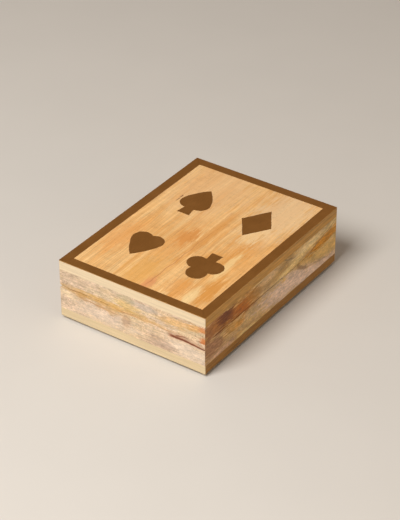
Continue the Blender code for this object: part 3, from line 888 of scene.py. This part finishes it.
def plain_metal_finish(name, shade, roughness, smudge):
    """Drawn or plated metal, with faint smudges and fine turning marks."""
    finish = Finish(name)
    haze = finish.cloud(3, 3.0, 0.6)
    lines = finish.cells(2.5, 0.12, 0.12)
    return finish.surface(
        Base_Color=finish.tint(shade, (haze - 0.5) * smudge + 1.0),
        Metallic=1.0,
        Roughness=(haze - 0.5) * 0.25 + roughness,
        Normal=finish.bump(lines, 0.004 * MM),
    )


def felt_finish():
    """Pressed wool: a mat with no direction, curled fibres on it, soft mottling and a little sheen.

    A fibre is a contour line of noise, where the noise is within a small distance of its middle."""
    finish = Finish("green_felt")
    mat = finish.cloud(0.7, 4.0, 0.7, 1.5)
    fibres = abs(finish.cloud(1.6, 3.0, 0.6, 2.5) - 0.5).within(0.045, 0.0)
    mottle = finish.cloud(8, 4.0, 0.6)
    level = (mat - 0.5) * 1.5 + fibres * 0.5 + (mottle - 0.5) * 0.9 + 0.92
    return finish.surface(
        Base_Color=finish.tint(colours().felt, level),
        Roughness=0.95,
        Sheen_Weight=0.35,
        Sheen_Roughness=0.5,
        Specular_IOR_Level=0.1,
        Normal=finish.bump(mat + fibres * 0.3, 0.3 * MM),
    )


def glue_finish():
    """Dark resin glue, flush in the joint and a little glossy."""
    finish = Finish("dark_glue")
    specks = finish.cloud(1.4)
    return finish.surface(
        Base_Color=finish.mix(specks.within(0.35, 0.7), tone(58, 34, 20), tone(112, 74, 42)),
        Roughness=(specks - 0.5) * 0.2 + 0.5,
    )


def rubber_finish():
    """Matt black rubber with a fine moulded texture."""
    finish = Finish("black_rubber")
    grit = finish.cloud(0.3)
    return finish.surface(
        Base_Color=finish.tint(tone(34, 33, 32), (grit - 0.5) * 0.5 + 1.0),
        Roughness=(grit - 0.5) * 0.2 + 0.72,
        Normal=finish.bump(grit, 0.03 * MM),
    )


# ---------------------------------------------------------------- outlines of the suits


def arc(centre, start, end, steps=40):
    """Points clockwise round a centre, from start to just before end."""
    centre, start, end = np.array(centre), np.array(start), np.array(end)
    radius = np.linalg.norm(start - centre)
    first = math.atan2(*(start - centre)[::-1])
    turn = (math.atan2(*(end - centre)[::-1]) - first) % (2 * math.pi) - 2 * math.pi
    angles = first + turn * np.arange(steps) / steps
    return centre + radius * np.stack([np.cos(angles), np.sin(angles)], axis=1)


def bow(start, control, end, steps=24):
    """Points on a quadratic curve, from start to just before end."""
    share = np.arange(steps)[:, None] / steps
    start, control, end = np.array(start), np.array(control), np.array(end)
    return (1 - share) ** 2 * start + 2 * share * (1 - share) * control + share**2 * end


def on_circle(centre, radius, degrees):
    """A point on a circle, at an angle from the right."""
    angle = math.radians(degrees)
    return centre[0] + radius * math.cos(angle), centre[1] + radius * math.sin(angle)


def both_halves(*right_half):
    """A right half, from its top to its bottom, and its mirror image, centred in height, in metres."""
    right = np.concatenate(right_half)
    left = (right * (-1, 1))[::-1]
    left = left[np.abs(left[:, 0]) > 0.01]
    outline = np.concatenate([right, left])
    outline[:, 1] -= (outline[:, 1].min() + outline[:, 1].max()) / 2
    return outline * MM


def straight(start, end, steps=24):
    """Points on a line, from start to just before end."""
    share = np.arange(steps)[:, None] / steps
    return np.array(start) * (1 - share) + np.array(end) * share


def spade():
    """A bowed point, two round lobes and a flared stem. Its sizes are in millimetres."""
    lobe, radius, tip = (5.4, 21), 10.5, (0, 47.9)
    shoulder = on_circle(lobe, radius, 25)
    stem_top, stem_waist, stem_foot = (5.3, 10.5), (5.4, 7), (6.9, 0)
    return both_halves(
        bow(tip, (11, 37), shoulder),
        arc(lobe, shoulder, stem_top),
        bow(stem_top, stem_waist, stem_foot, 12),
        straight(stem_foot, (0, 0), 6),
    )


def heart():
    """Two round lobes, and bowed sides down to a point. Its sizes are in millimetres."""
    lobe, radius, tip = (6.7, 28.4), 10, (0, -0.9)
    notch = (0, lobe[1] + math.sqrt(radius**2 - lobe[0] ** 2))
    side = on_circle(lobe, radius, -22)
    return both_halves(arc(lobe, notch, side), bow(side, (11.9, 12.6), tip), [tip])


def club():
    """Three round lobes and a short stem. Its sizes are in millimetres."""
    top_lobe, top_radius = np.array((0, 34.4)), 10.1
    side_lobe, side_radius = np.array((9, 20.1)), 9.9
    between = side_lobe - top_lobe
    apart = np.linalg.norm(between)
    along = (apart**2 + top_radius**2 - side_radius**2) / (2 * apart)
    aside = math.sqrt(top_radius**2 - along**2)
    crotch = top_lobe + (along * between + aside * np.array((-between[1], between[0]))) / apart
    stem_width, foot = 5.15, (5.9, 0)
    stem_top = (stem_width, side_lobe[1] - math.sqrt(side_radius**2 - (side_lobe[0] - stem_width) ** 2))
    return both_halves(
        arc(top_lobe, (0, top_lobe[1] + top_radius), crotch),
        arc(side_lobe, crotch, stem_top, 50),
        bow(stem_top, (stem_width, 3), foot, 12),
        straight(foot, (0, 0), 6),
    )


def diamond():
    """Four corners, the side ones a little below the middle. Its sizes are in millimetres."""
    side = (16.5, -0.7)
    return both_halves(straight((0, 25.1), side, 40), straight(side, (0, -25.1), 40), [(0, -25.1)])


SUITS = {"spade": spade, "diamond": diamond, "heart": heart, "club": club}


def laid_on_lid(name):
    """A suit's outline in plan, anticlockwise, over its CAD node. The club stands the other way up."""
    sign = -1 if name == "club" else 1
    across, up = (sign * SUITS[name]()).T
    centre = middle(f"{name}_inlay")
    return np.column_stack([centre[0] + up, centre[1] - across])[::-1]


def suit_edges(name):
    """The edge that the saw cut in the brass, and the wider one of its pocket in the wood."""
    outline = laid_on_lid(name)
    distance = distances(outline)[1:]
    seed = list(SUITS).index(name)
    cut = wander(distance, sizes().hand_cut, seed)
    glue = sizes().glue_line * (1 + wander(distance, 0.8, seed + 10))
    return grown(outline, cut - 0.02 * MM), grown(outline, np.maximum(glue, 0.05 * MM) + cut)


# ---------------------------------------------------------------- the operators, one for each group


def shared(name, make):
    """A material that more than one operator uses. The first of them makes it."""
    return bpy.data.materials.get(name) or make()


class MakeLidPanel(bpy.types.Operator):
    """Make the lid's top board, with a rebate for the border and a pocket for each suit"""

    bl_idname = "chip_case.lid_panel"
    bl_label = "Lid Panel"

    def execute(self, context):
        corner, arris = sizes().corner, 0.12 * MM
        rebate = INLAY_FLOOR - GLUE_GAP / 2
        field = BORDER + GLUE_GAP
        bevel_depth, bevel_width = 0.03 * MM, 0.04 * MM
        levels = (
            (arris, PANEL_UNDERSIDE),
            (0.3 * arris, PANEL_UNDERSIDE + 0.3 * arris),
            (0, PANEL_UNDERSIDE + arris),
            (0, rebate),
            (field, rebate),
            (field, LID_TOP - bevel_depth),
            (field + bevel_width, LID_TOP),
        )
        rings = np.stack([plan_ring(inset, height, corner) for inset, height in levels])
        panel = make_piece("lid_board", skin(rings), lid_panel_finish(), LID, ["lid_panel"])
        pockets = [skin(slab(suit_edges(name)[1], rebate, LID_TOP + MM)) for name in SUITS]
        combine(panel, pockets, "DIFFERENCE")
        return {"FINISHED"}


class MakeBorder(bpy.types.Operator):
    """Make the four mitred strips of brass round the lid's edge"""

    bl_idname = "chip_case.border"
    bl_label = "Brass Border"

    def execute(self, context):
        finish = shared("aged_brass", inlay_brass_finish)
        corners = rectangle(0, INLAY_FLOOR, BORDER, INLAY_TOP)
        outline = eased(corners, [0.02 * MM, 0.02 * MM, 0.06 * MM, 0.15 * MM])
        for seed, side in enumerate(SIDE_TURNS):

            def inner(distance, seed=seed):
                return wander(distance, 0.5 * sizes().hand_cut, seed + 20)

            rings = mitred_board(side, outline, sizes().corner, 0.05 * MM, inner)
            node = f"border_strip_{side}"
            make_piece(f"border_brass_{side}", skin(rings), finish, LID, [node])
        return {"FINISHED"}


class MakeSuits(bpy.types.Operator):
    """Make the four suits of sheet brass, each with the glue that fills its joint"""

    bl_idname = "chip_case.suits"
    bl_label = "Brass Suits"

    def execute(self, context):
        finish = shared("aged_brass", inlay_brass_finish)
        glue = glue_finish()
        glue_top = INLAY_TOP - 0.05 * MM
        for name in SUITS:
            brass, pocket = suit_edges(name)
            rings = slab(brass, INLAY_FLOOR, INLAY_TOP, ease=0.06 * MM)
            make_piece(f"{name}_brass", skin(rings), finish, LID, [f"{name}_inlay"])
            inner, outer = grown(brass, 0.01 * MM), grown(pocket, -0.01 * MM)
            levels = ((inner, INLAY_FLOOR), (inner, glue_top), (outer, glue_top), (outer, INLAY_FLOOR))
            band = np.stack([flat_ring(edge, height) for edge, height in levels])
            make_piece(f"{name}_glue_line", skin(band, closed=True), glue, LID)
        return {"FINISHED"}


def rear_groove():
    """A cutter for the V along the back, where the lid's and the base's chamfers meet.

    Its mouth flares into the faces by an arc, so that the chamfers' edges are eased."""
    chamfer, ease = 2.3 * MM, 0.6 * MM
    back = CASE_DEPTH / 2
    beyond = back + MM
    mouth = chamfer + SEAM_GAP / 2
    apex = back - mouth
    angles = np.linspace(np.pi / 4, 0, 5)
    # The lip's arc is centred in the wood, at a depth of ease from the face.
    lip_y = back - ease * (1 - np.cos(angles))
    lip_z = mouth + ease * (math.tan(np.pi / 8) - np.sin(angles))
    half = np.column_stack([lip_y, lip_z])
    upper = np.concatenate([half, [(beyond, half[-1, 1])]])
    lower = (upper * (1, -1))[::-1]
    outline = np.concatenate([[(apex, 0)], upper, lower])
    reach = CASE_LENGTH / 2 + MM
    rings = [np.column_stack([np.full(len(outline), x), outline]) for x in (-reach, reach)]
    return skin(np.stack(rings) + (0, 0, SEAM))


def hinge_recesses(part):
    """Cutters for the knuckles, leaves and screws of both hinges, in one part's back wall."""
    leaf_depth, screw_hole = 1.3 * MM, 1.2 * MM
    cutters = []
    for label in ("left", "right"):
        centre = middle(f"hinge_{label}_{part}_leaf")
        leaf_low, leaf_high = low(f"hinge_{label}_{part}_leaf"), high(f"hinge_{label}_{part}_leaf")
        half = (leaf_high[0] - leaf_low[0]) / 2 + LOOSE_GAP
        radius = (leaf_high[2] - leaf_low[2]) / 2 + LOOSE_GAP
        axis = (centre[0], HINGE_AXIS[1], HINGE_AXIS[2])
        cutters.append(skin(turned_rings([(radius, -half), (radius, half)], axis, "X")))
        depth = SEAM_GAP / 2 + leaf_depth
        front = leaf_low[1] - LOOSE_GAP
        outline = np.array(rectangle(centre[0] - half, front, centre[0] + half, HINGE_AXIS[1]))
        cutters.append(skin(slab(outline, SEAM - depth, SEAM + depth)))
        for number in (1, 2):
            screw = f"hinge_{label}_{part}_screw_{number}"
            reach = high(screw)[2] - low(screw)[2] + LOOSE_GAP
            profile = [(screw_hole, -reach), (screw_hole, reach)]
            cutters.append(skin(turned_rings(profile, (*middle(screw)[:2], SEAM), segments=24)))
    return cutters


class MakeWalls(bpy.types.Operator):
    """Make the mitred walls of the lid and the base, each pair cut from one figured board"""

    bl_idname = "chip_case.walls"
    bl_label = "Walls"

    def execute(self, context):
        finishes = {
            "front": front_wall_finish(),
            "right": right_wall_finish(),
            "back": back_wall_finish(),
            "left": left_wall_finish(),
        }
        rim, glued, inner = sizes().rim, 0.12 * MM, 0.5 * MM
        for part in (BASE, LID):
            bottom, top = low(f"{part}_wall_front")[2], high(f"{part}_wall_front")[2]
            at_seam = [rim, inner]
            radii = [glued, glued, *at_seam[::-1]] if part == BASE else [*at_seam, glued, glued]
            outline = eased(rectangle(0, bottom, WALL, top), radii)
            for side, finish in finishes.items():
                node = f"{part}_wall_{side}"
                rings = mitred_board(side, outline, sizes().corner, 0.05 * MM)
                wall = make_piece(f"{part}_board_{side}", skin(rings), finish, part, [node])
                cutters = self.magnet_holes(part) if side == "front" else [rear_groove()]
                if side == "back":
                    cutters += hinge_recesses(part)
                combine(wall, cutters, "DIFFERENCE")
        return {"FINISHED"}

    @staticmethod
    def magnet_holes(part):
        cutters = []
        for label in ("left", "right"):
            node = f"{part}_magnet_{label}"
            radius = (high(node)[0] - low(node)[0]) / 2 + 0.05 * MM
            reach = max(abs(low(node)[2] - SEAM), abs(high(node)[2] - SEAM)) + GLUE_GAP
            profile = [(radius, -reach), (radius, reach)]
            cutters.append(skin(turned_rings(profile, (*middle(node)[:2], SEAM), segments=64)))
        return cutters


class MakeBasePanel(bpy.types.Operator):
    """Make the bottom board"""

    bl_idname = "chip_case.base_panel"
    bl_label = "Base Panel"

    def execute(self, context):
        bottom, top = low("base_panel")[2], high("base_panel")[2]
        arris = sizes().arris
        levels = [(arris * (1 - math.sin(a)), bottom + arris * (1 - math.cos(a))) for a in EASING]
        glued = 0.12 * MM
        levels += [(0, top - glued), (glued, top)]
        rings = np.stack([plan_ring(inset, height, sizes().corner) for inset, height in levels])
        make_piece("base_board", skin(rings), base_panel_finish(), BASE, ["base_panel"])
        return {"FINISHED"}


class MakeChipRack(bpy.types.Operator):
    """Make the block with three half-round troughs for chips on edge"""

    bl_idname = "chip_case.chip_rack"
    bl_label = "Chip Rack"

    def execute(self, context):
        start, end = low("chip_rack"), high("chip_rack")
        radius, end_wall, floor = 20 * MM, 4 * MM, 1.5 * MM
        rows = (-1, 0, 1)
        axis_height = start[2] + floor + radius
        rib = (end[1] - start[1] - len(rows) * 2 * radius) / (len(rows) + 1)
        pitch = 2 * radius + rib
        reach = math.acos((axis_height - end[2]) / radius)
        angles = np.linspace(-reach, reach, 60)
        troughs = [
            np.column_stack([row * pitch + radius * np.sin(angles), axis_height - radius * np.cos(angles)])
            for row in rows
        ]
        top_edge = np.concatenate([[(start[1], end[2])], *troughs, [(end[1], end[2])]])
        bottom_edge = [(end[1], start[2]), (start[1], start[2])]
        ease = sizes().inside_edge
        outline = softened(np.concatenate([top_edge, bottom_edge]), ease)
        block = skin(self.sections(outline, floor, start[0], end[0], end_wall, ease))
        finish = shared("sanded_mango_wood", inside_wood_finish)
        make_piece("chip_rack_block", block, finish, BASE, ["chip_rack"], sharp=50)
        return {"FINISHED"}

    @staticmethod
    def sections(outline, floor, start, end, end_wall, ease):
        """Cross-sections along the rack: in its end walls a trough is only as deep as their eased edge.

        Where a wall ends, a trough's points drop from there to their own heights at the same x."""
        angles = np.linspace(0, np.pi / 2, 6)
        rings = []
        bottom, top = outline[:, 1].min(), outline[:, 1].max()
        left, right = outline[:, 0].min(), outline[:, 0].max()
        centre = (left + right) / 2
        in_trough = np.abs(outline[:, 0] - centre) < (right - left) / 2 - ease
        in_trough &= outline[:, 1] > bottom + floor / 2

        def ring(x, limit, shrink=0.0):
            height = np.where(in_trough, np.maximum(outline[:, 1], top - limit), outline[:, 1])
            across = centre + (outline[:, 0] - centre) * (1 - shrink)
            return np.column_stack([np.full(len(outline), x), across, height])

        for inset, direction in ((start, 1), (end, -1)):
            # The end face is drawn in a little, so that its upright edges are eased.
            rows = [ring(inset, 0.0, shrink=0.004), ring(inset + direction * 0.3 * ease, 0.0)]
            rows += [
                ring(inset + direction * (end_wall - ease * (1 - math.sin(a))), ease * (1 - math.cos(a)))
                for a in angles
            ]
            rows.append(ring(inset + direction * end_wall, top - bottom))
            rings += rows if direction == 1 else rows[::-1]
        return np.stack(rings)


class MakeCardDivider(bpy.types.Operator):
    """Make the low wall between the card wells, with a scoop for the fingers"""

    bl_idname = "chip_case.card_divider"
    bl_label = "Card Divider"

    def execute(self, context):
        start, end = low("card_divider"), high("card_divider")
        scoop_radius, scoop_depth = 16 * MM, 8 * MM
        x = np.linspace(start[0], end[0], 190)
        off = np.clip(np.abs(x - (start[0] + end[0]) / 2), 0, scoop_radius)
        scoop = end[2] + scoop_radius - scoop_depth - np.sqrt(scoop_radius**2 - off**2)
        top = np.minimum(end[2], scoop)
        # The scoop's upper edges are softened by a weighted mean over a few steps to each side.
        few = 4
        weights = np.exp(-np.linspace(-2, 2, 2 * few + 1) ** 2)
        top = np.convolve(np.pad(top, few, mode="edge"), weights / weights.sum(), mode="valid")
        half = (end[1] - start[1]) / 2
        radii = [0.2 * MM, 0.2 * MM, 1.6 * MM, 1.6 * MM]
        rings = []
        for place, height in zip(x, top):
            outline = eased(rectangle(-half, start[2], half, height), radii)
            rings.append(np.column_stack([np.full(len(outline), place), outline]))
        wall = skin(np.stack(rings))
        finish = shared("sanded_mango_wood", inside_wood_finish)
        make_piece("card_divider_wall", wall, finish, BASE, ["card_divider"])
        return {"FINISHED"}


class MakeFelts(bpy.types.Operator):
    """Make the sheet of felt under the lid and the pads in the card wells"""

    bl_idname = "chip_case.felts"
    bl_label = "Felt Lining"

    def execute(self, context):
        finish = felt_finish()
        sheets = (
            ("lid_felt", LID, "lid_board"),
            ("card_well_felt_front", BASE, "base_board"),
            ("card_well_felt_back", BASE, "base_board"),
        )
        for node, body, backing in sheets:
            piece = self.sheet_of_felt(node, body, finish)
        return {"FINISHED"}

    @staticmethod
    def sheet_of_felt(node, body, finish):
        """A closed sheet: rings that run from the middle of one face, out round the rim and back.

        Each ring is the sheet's rectangle drawn in by an inset, and its face waves a little."""
        start, end = low(node), high(node)
        half_thickness = (end[2] - start[2]) / 2
        half, centre = (end - start)[:2] / 2, middle(node)
        reach, rim_width, swell = half.min() * 0.98, 0.45 * MM, 0.04 * MM
        points_round = 160
        insets = reach * (1 - np.linspace(0, 1, 30)) ** 1.5 + rim_width
        angles = np.linspace(-np.pi / 2, np.pi / 2, 7)
        rim = rim_width * (1 - np.cos(angles))
        path = [(inset, -1) for inset in insets] + list(zip(rim, np.sin(angles)))
        path += [(inset, 1) for inset in insets[::-1]]
        rings = []
        for inset, side in path:
            corner = 1.2 * MM if inset < 2 * MM else 0.3 * MM
            outline = eased(rectangle(*(inset - half), *(half - inset)), [corner] * 4)
            outline = resampled(outline, points_round) + centre[:2]
            wave = swell * np.sin(outline[:, 0] / (7 * MM)) * np.sin(outline[:, 1] / (9 * MM))
            z = centre[2] + side * (half_thickness - 1.5 * swell) + wave
            rings.append(np.column_stack([outline, z]))
        name = node.replace("felt", "felt_sheet")
        return make_piece(name, skin(np.stack(rings)), finish, body, [node], sharp=70)


class MakeHinges(bpy.types.Operator):
    """Make the two butt hinges: leaves with their knuckles, pins and countersunk screws"""

    bl_idname = "chip_case.hinges"
    bl_label = "Hinges"

    def execute(self, context):
        finish = plain_metal_finish("hinge_brass", colours().fittings, 0.3, 0.3)
        # Each part has its own knuckles of the five, and a direction from the seam into its wood.
        leaves = ((BASE, (0, 2, 4), -1), (LID, (1, 3), 1))
        for label in ("left", "right"):
            for part, own, direction in leaves:
                self.make_leaf(label, part, own, direction, finish)
                for number in (1, 2):
                    screw = f"hinge_{label}_{part}_screw_{number}"
                    self.make_screw(screw, part, direction, 25 * number, finish)
            self.make_pin(f"hinge_{label}_pin", finish)
        return {"FINISHED"}

    @staticmethod
    def make_leaf(label, part, own, direction, finish):
        """A flat plate with tabs out to its own knuckles, which are bored for the pin."""
        node = f"hinge_{label}_{part}_leaf"
        count, half_length, gap, thickness = 5, 16 * MM, 0.15 * MM, 1 * MM
        knuckle_radius, bore, ease, dish = 1.9 * MM, 1.1 * MM, 0.2 * MM, 0.05 * MM
        first = middle(f"hinge_{label}_pin")[0] - half_length
        last = first + 2 * half_length
        pitch = 2 * half_length / count
        face = SEAM + direction * SEAM_GAP / 2
        inner, outer = sorted((face, face + direction * thickness))
        # The plate stops short of the knuckles, and its tabs run on into the ones it owns.
        edge = HINGE_AXIS[1] - knuckle_radius - 0.3 * MM
        tab_start, tab_end = edge - 0.5 * MM, HINGE_AXIS[1] - 1.35 * MM
        corners = rectangle(first, low(node)[1], last, edge)
        plate = slab(eased(corners, [0.6 * MM, 0.6 * MM, 0.1 * MM, 0.1 * MM]), inner, outer)
        name = f"hinge_{label}_{part}_plate"
        leaf = make_piece(name, skin(plate), finish, part, [node])
        additions = []
        for index in own:
            left, right = first + index * pitch + gap, first + (index + 1) * pitch - gap
            tab = np.array(rectangle(left, tab_start, right, tab_end))
            additions.append(skin(slab(tab, inner, outer)))
            profile = [
                (bore, left + dish),
                (knuckle_radius - ease, left),
                (knuckle_radius, left + ease),
                (knuckle_radius, right - ease),
                (knuckle_radius - ease, right),
                (bore, right - dish),
            ]
            rings = turned_rings(profile, (0, HINGE_AXIS[1], HINGE_AXIS[2]), "X")
            additions.append(skin(rings, closed=True))
        combine(leaf, additions, "UNION")
        sinks = []
        for number in (1, 2):
            screw = middle(f"hinge_{label}_{part}_screw_{number}")
            countersink = [(1.2, 1.3), (1.2, 0.95), (1.9, 0.1), (1.9, -0.4)]
            profile = [(radius * MM, direction * height * MM) for radius, height in countersink]
            sinks.append(skin(turned_rings(profile, (screw[0], screw[1], face))))
        combine(leaf, sinks, "DIFFERENCE")

    @staticmethod
    def make_screw(node, part, direction, slot_turn, finish):
        """A slotted countersunk screw, its head's face towards the seam."""
        bottom, top = low(node)[2], high(node)[2]
        head = bottom if direction == 1 else top
        reach = (top - bottom) / MM
        shape = [(0.05, reach), (0.9, reach - 1.5), (0.9, 0.75), (1.55, 0.08), (1.5, 0.0)]
        profile = [(radius * MM, direction * depth * MM) for radius, depth in shape]
        centre = (*middle(node)[:2], head)
        surface = skin(turned_rings(profile, centre, segments=40))
        name = node.replace("screw", "countersunk_screw")
        screw = make_piece(name, surface, finish, part, [node])
        slot_reach, slot_half_width, slot_depth = 3 * MM, 0.2 * MM, 0.35 * MM
        angle = math.radians(slot_turn)
        turn = np.array([[math.cos(angle), math.sin(angle)], [-math.sin(angle), math.cos(angle)]])
        slot = np.array(rectangle(-slot_reach, -slot_half_width, slot_reach, slot_half_width))
        levels = sorted((head - direction * MM, head + direction * slot_depth))
        combine(screw, [skin(slab(slot @ turn + centre[:2], *levels))], "DIFFERENCE")

    @staticmethod
    def make_pin(node, finish):
        """A rod with slightly domed and eased ends."""
        radius, ease, dome = 0.85 * MM, 0.3 * MM, 0.03 * MM
        tip = [(0.1 * MM, 0), (radius - ease, dome), (radius - 0.3 * ease, 0.3 * ease), (radius, ease)]
        start, end = low(node)[0], high(node)[0]
        profile = [(across, start + along) for across, along in tip]
        profile += [(across, end - along) for across, along in tip[::-1]]
        rings = turned_rings(profile, (0, HINGE_AXIS[1], HINGE_AXIS[2]), "X", 32)
        make_piece(f"{node}_rod", skin(rings), finish, BASE, [node])


def disc(node, lower_ease, upper_ease, segments=48):
    """Rings of an upright disc in a node's place, its two edges eased by quarter circles."""
    start, end = low(node), high(node)
    radius = (end[0] - start[0]) / 2
    sines, cosines = np.sin(EASING), np.cos(EASING)
    lower = np.column_stack([radius - lower_ease * (1 - sines), start[2] + lower_ease * (1 - cosines)])
    upper = np.column_stack([radius - upper_ease * (1 - cosines), end[2] - upper_ease * (1 - sines)])
    profile = [(0.3 * radius, start[2]), *lower, *upper, (0.3 * radius, end[2])]
    return turned_rings(profile, (*middle(node)[:2], 0), segments=segments)


class MakeMagnets(bpy.types.Operator):
    """Make the plated discs in the front walls' rims that hold the lid shut"""

    bl_idname = "chip_case.magnets"
    bl_label = "Magnets"

    def execute(self, context):
        finish = plain_metal_finish("nickel_plate", tone(216, 212, 204), 0.22, 0.15)
        for part in (BASE, LID):
            for label in ("left", "right"):
                node = f"{part}_magnet_{label}"
                rings = disc(node, 0.25 * MM, 0.25 * MM)
                make_piece(f"{node}_disc", skin(rings), finish, part, [node])
        return {"FINISHED"}


class MakeFeet(bpy.types.Operator):
    """Make the four rubber pads under the case"""

    bl_idname = "chip_case.feet"
    bl_label = "Feet"

    def execute(self, context):
        finish = rubber_finish()
        for row in ("front", "back"):
            for label in ("left", "right"):
                node = f"foot_{row}_{label}"
                rings = disc(node, 1.1 * MM, 0.3 * MM, segments=64)
                make_piece(f"{node}_pad", skin(rings), finish, BASE, [node])
        return {"FINISHED"}


class MakeStage(bpy.types.Operator):
    """Set up the floor, the lights and the camera"""

    bl_idname = "chip_case.stage"
    bl_label = "Stage"

    def execute(self, context):
        settings = context.scene.chip_case_stage
        self.make_floor(settings)
        near_white, amber = (1.0, 0.985, 0.96), (1.0, 0.72, 0.42)
        self.make_light("key", (-1.26, 0.19, 1.68), 1.1, settings.key_power, near_white)
        self.make_light("fill", (-0.3, -2.5, 0.6), 1.0, settings.fill_power, amber)
        self.make_camera()
        self.make_room(settings)
        context.scene.view_settings.view_transform = "Standard"
        return {"FINISHED"}

    @staticmethod
    def make_room(settings):
        """A dim room, with a warm screen at the far side that the brass reflects."""
        world = bpy.data.worlds.new("room")
        bpy.context.scene.world = world
        world.use_nodes = True
        nodes = Nodes(world.node_tree)
        towards = nodes.add("TexCoord", output="Generated")
        screen = nodes.add("VectorMath", {"operation": "DOT_PRODUCT"}, {0: towards, 1: SCREEN}, "Value")
        walls = nodes.mix(screen.within(0.55, 0.9), settings.walls, settings.screen)
        background = world.node_tree.nodes["Background"]
        nodes.feed(background.inputs["Color"], walls)
        background.inputs["Strength"].default_value = settings.room

    @staticmethod
    def make_floor(settings):
        """A wide plain floor, just clear of the feet."""
        half, clearance = 3.0, 0.05 * MM
        points = np.array([(x, y, -clearance) for x, y in rectangle(-half, -half, half, half)])
        mesh = bpy.data.meshes.new("floor")
        mesh.from_pydata(points.tolist(), [], [[0, 1, 2, 3]])
        finish = Finish("plain_floor")
        haze = finish.cells(90, 90, 1)
        finish.surface(Base_Color=finish.tint(settings.floor, haze * 0.04 + 0.98), Roughness=0.6)
        mesh.materials.append(finish.material)
        floor = add_object("floor", mesh)

    @staticmethod
    def make_light(name, place, size, power, shade):
        """A round soft light, aimed at the middle of the case."""
        light = bpy.data.lights.new(name, "AREA")
        light.shape = "DISK"
        light.size = size
        light.energy = power
        light.color = shade
        lamp = add_object(name, light)
        lamp.location = place
        lamp.rotation_euler = (Vector((0, 0, 0.03)) - Vector(place)).to_track_quat("-Z", "Y").to_euler()

    @staticmethod
    def make_camera():
        """A long lens at an azimuth from the front, negative to the left, and an elevation."""
        azimuth, elevation, distance = math.radians(-55.35), math.radians(33.83), 1.807
        target = Vector((-0.0001, 0.001, 0.034))
        level = math.cos(elevation)
        outward = Vector((math.sin(azimuth) * level, -math.cos(azimuth) * level, math.sin(elevation)))
        data = bpy.data.cameras.new("camera")
        data.lens = 131.6
        data.sensor_width = 36
        data.clip_start = 0.05
        camera = add_object("camera", data)
        camera.location = target + outward * distance
        camera.rotation_euler = outward.to_track_quat("Z", "Y").to_euler()
        bpy.context.scene.camera = camera


OPERATORS = (
    MakeStage,
    MakeLidPanel,
    MakeBorder,
    MakeSuits,
    MakeWalls,
    MakeBasePanel,
    MakeChipRack,
    MakeCardDivider,
    MakeFelts,
    MakeHinges,
    MakeMagnets,
    MakeFeet,
)
SETTINGS = {
    "chip_case_sizes": ChipCaseSizes,
    "chip_case_colours": ChipCaseColours,
    "chip_case_stage": ChipCaseStage,
}


class ChipCasePanel(bpy.types.Panel):
    """The chip case's settings, and a button for each group of its pieces"""

    bl_label = "Chip Case"
    bl_idname = "VIEW3D_PT_chip_case"
    bl_space_type = "VIEW_3D"
    bl_region_type = "UI"
    bl_category = "Chip Case"

    def draw(self, context):
        for name in SETTINGS:
            settings = getattr(context.scene, name)
            column = self.layout.column()
            for key in settings.__annotations__:
                column.prop(settings, key)
        for operator in OPERATORS:
            self.layout.operator(operator.bl_idname)


def register():
    for cls in (*SETTINGS.values(), *OPERATORS, ChipCasePanel):
        bpy.utils.register_class(cls)
    for name, group in SETTINGS.items():
        setattr(bpy.types.Scene, name, PointerProperty(type=group))


def unregister():
    for name in SETTINGS:
        delattr(bpy.types.Scene, name)
    for cls in reversed((*SETTINGS.values(), *OPERATORS, ChipCasePanel)):
        bpy.utils.unregister_class(cls)


def main():
    register()
    for operator in OPERATORS:
        group, name = operator.bl_idname.split(".")
        getattr(getattr(bpy.ops, group), name)()


if __name__ == "__main__":
    main()
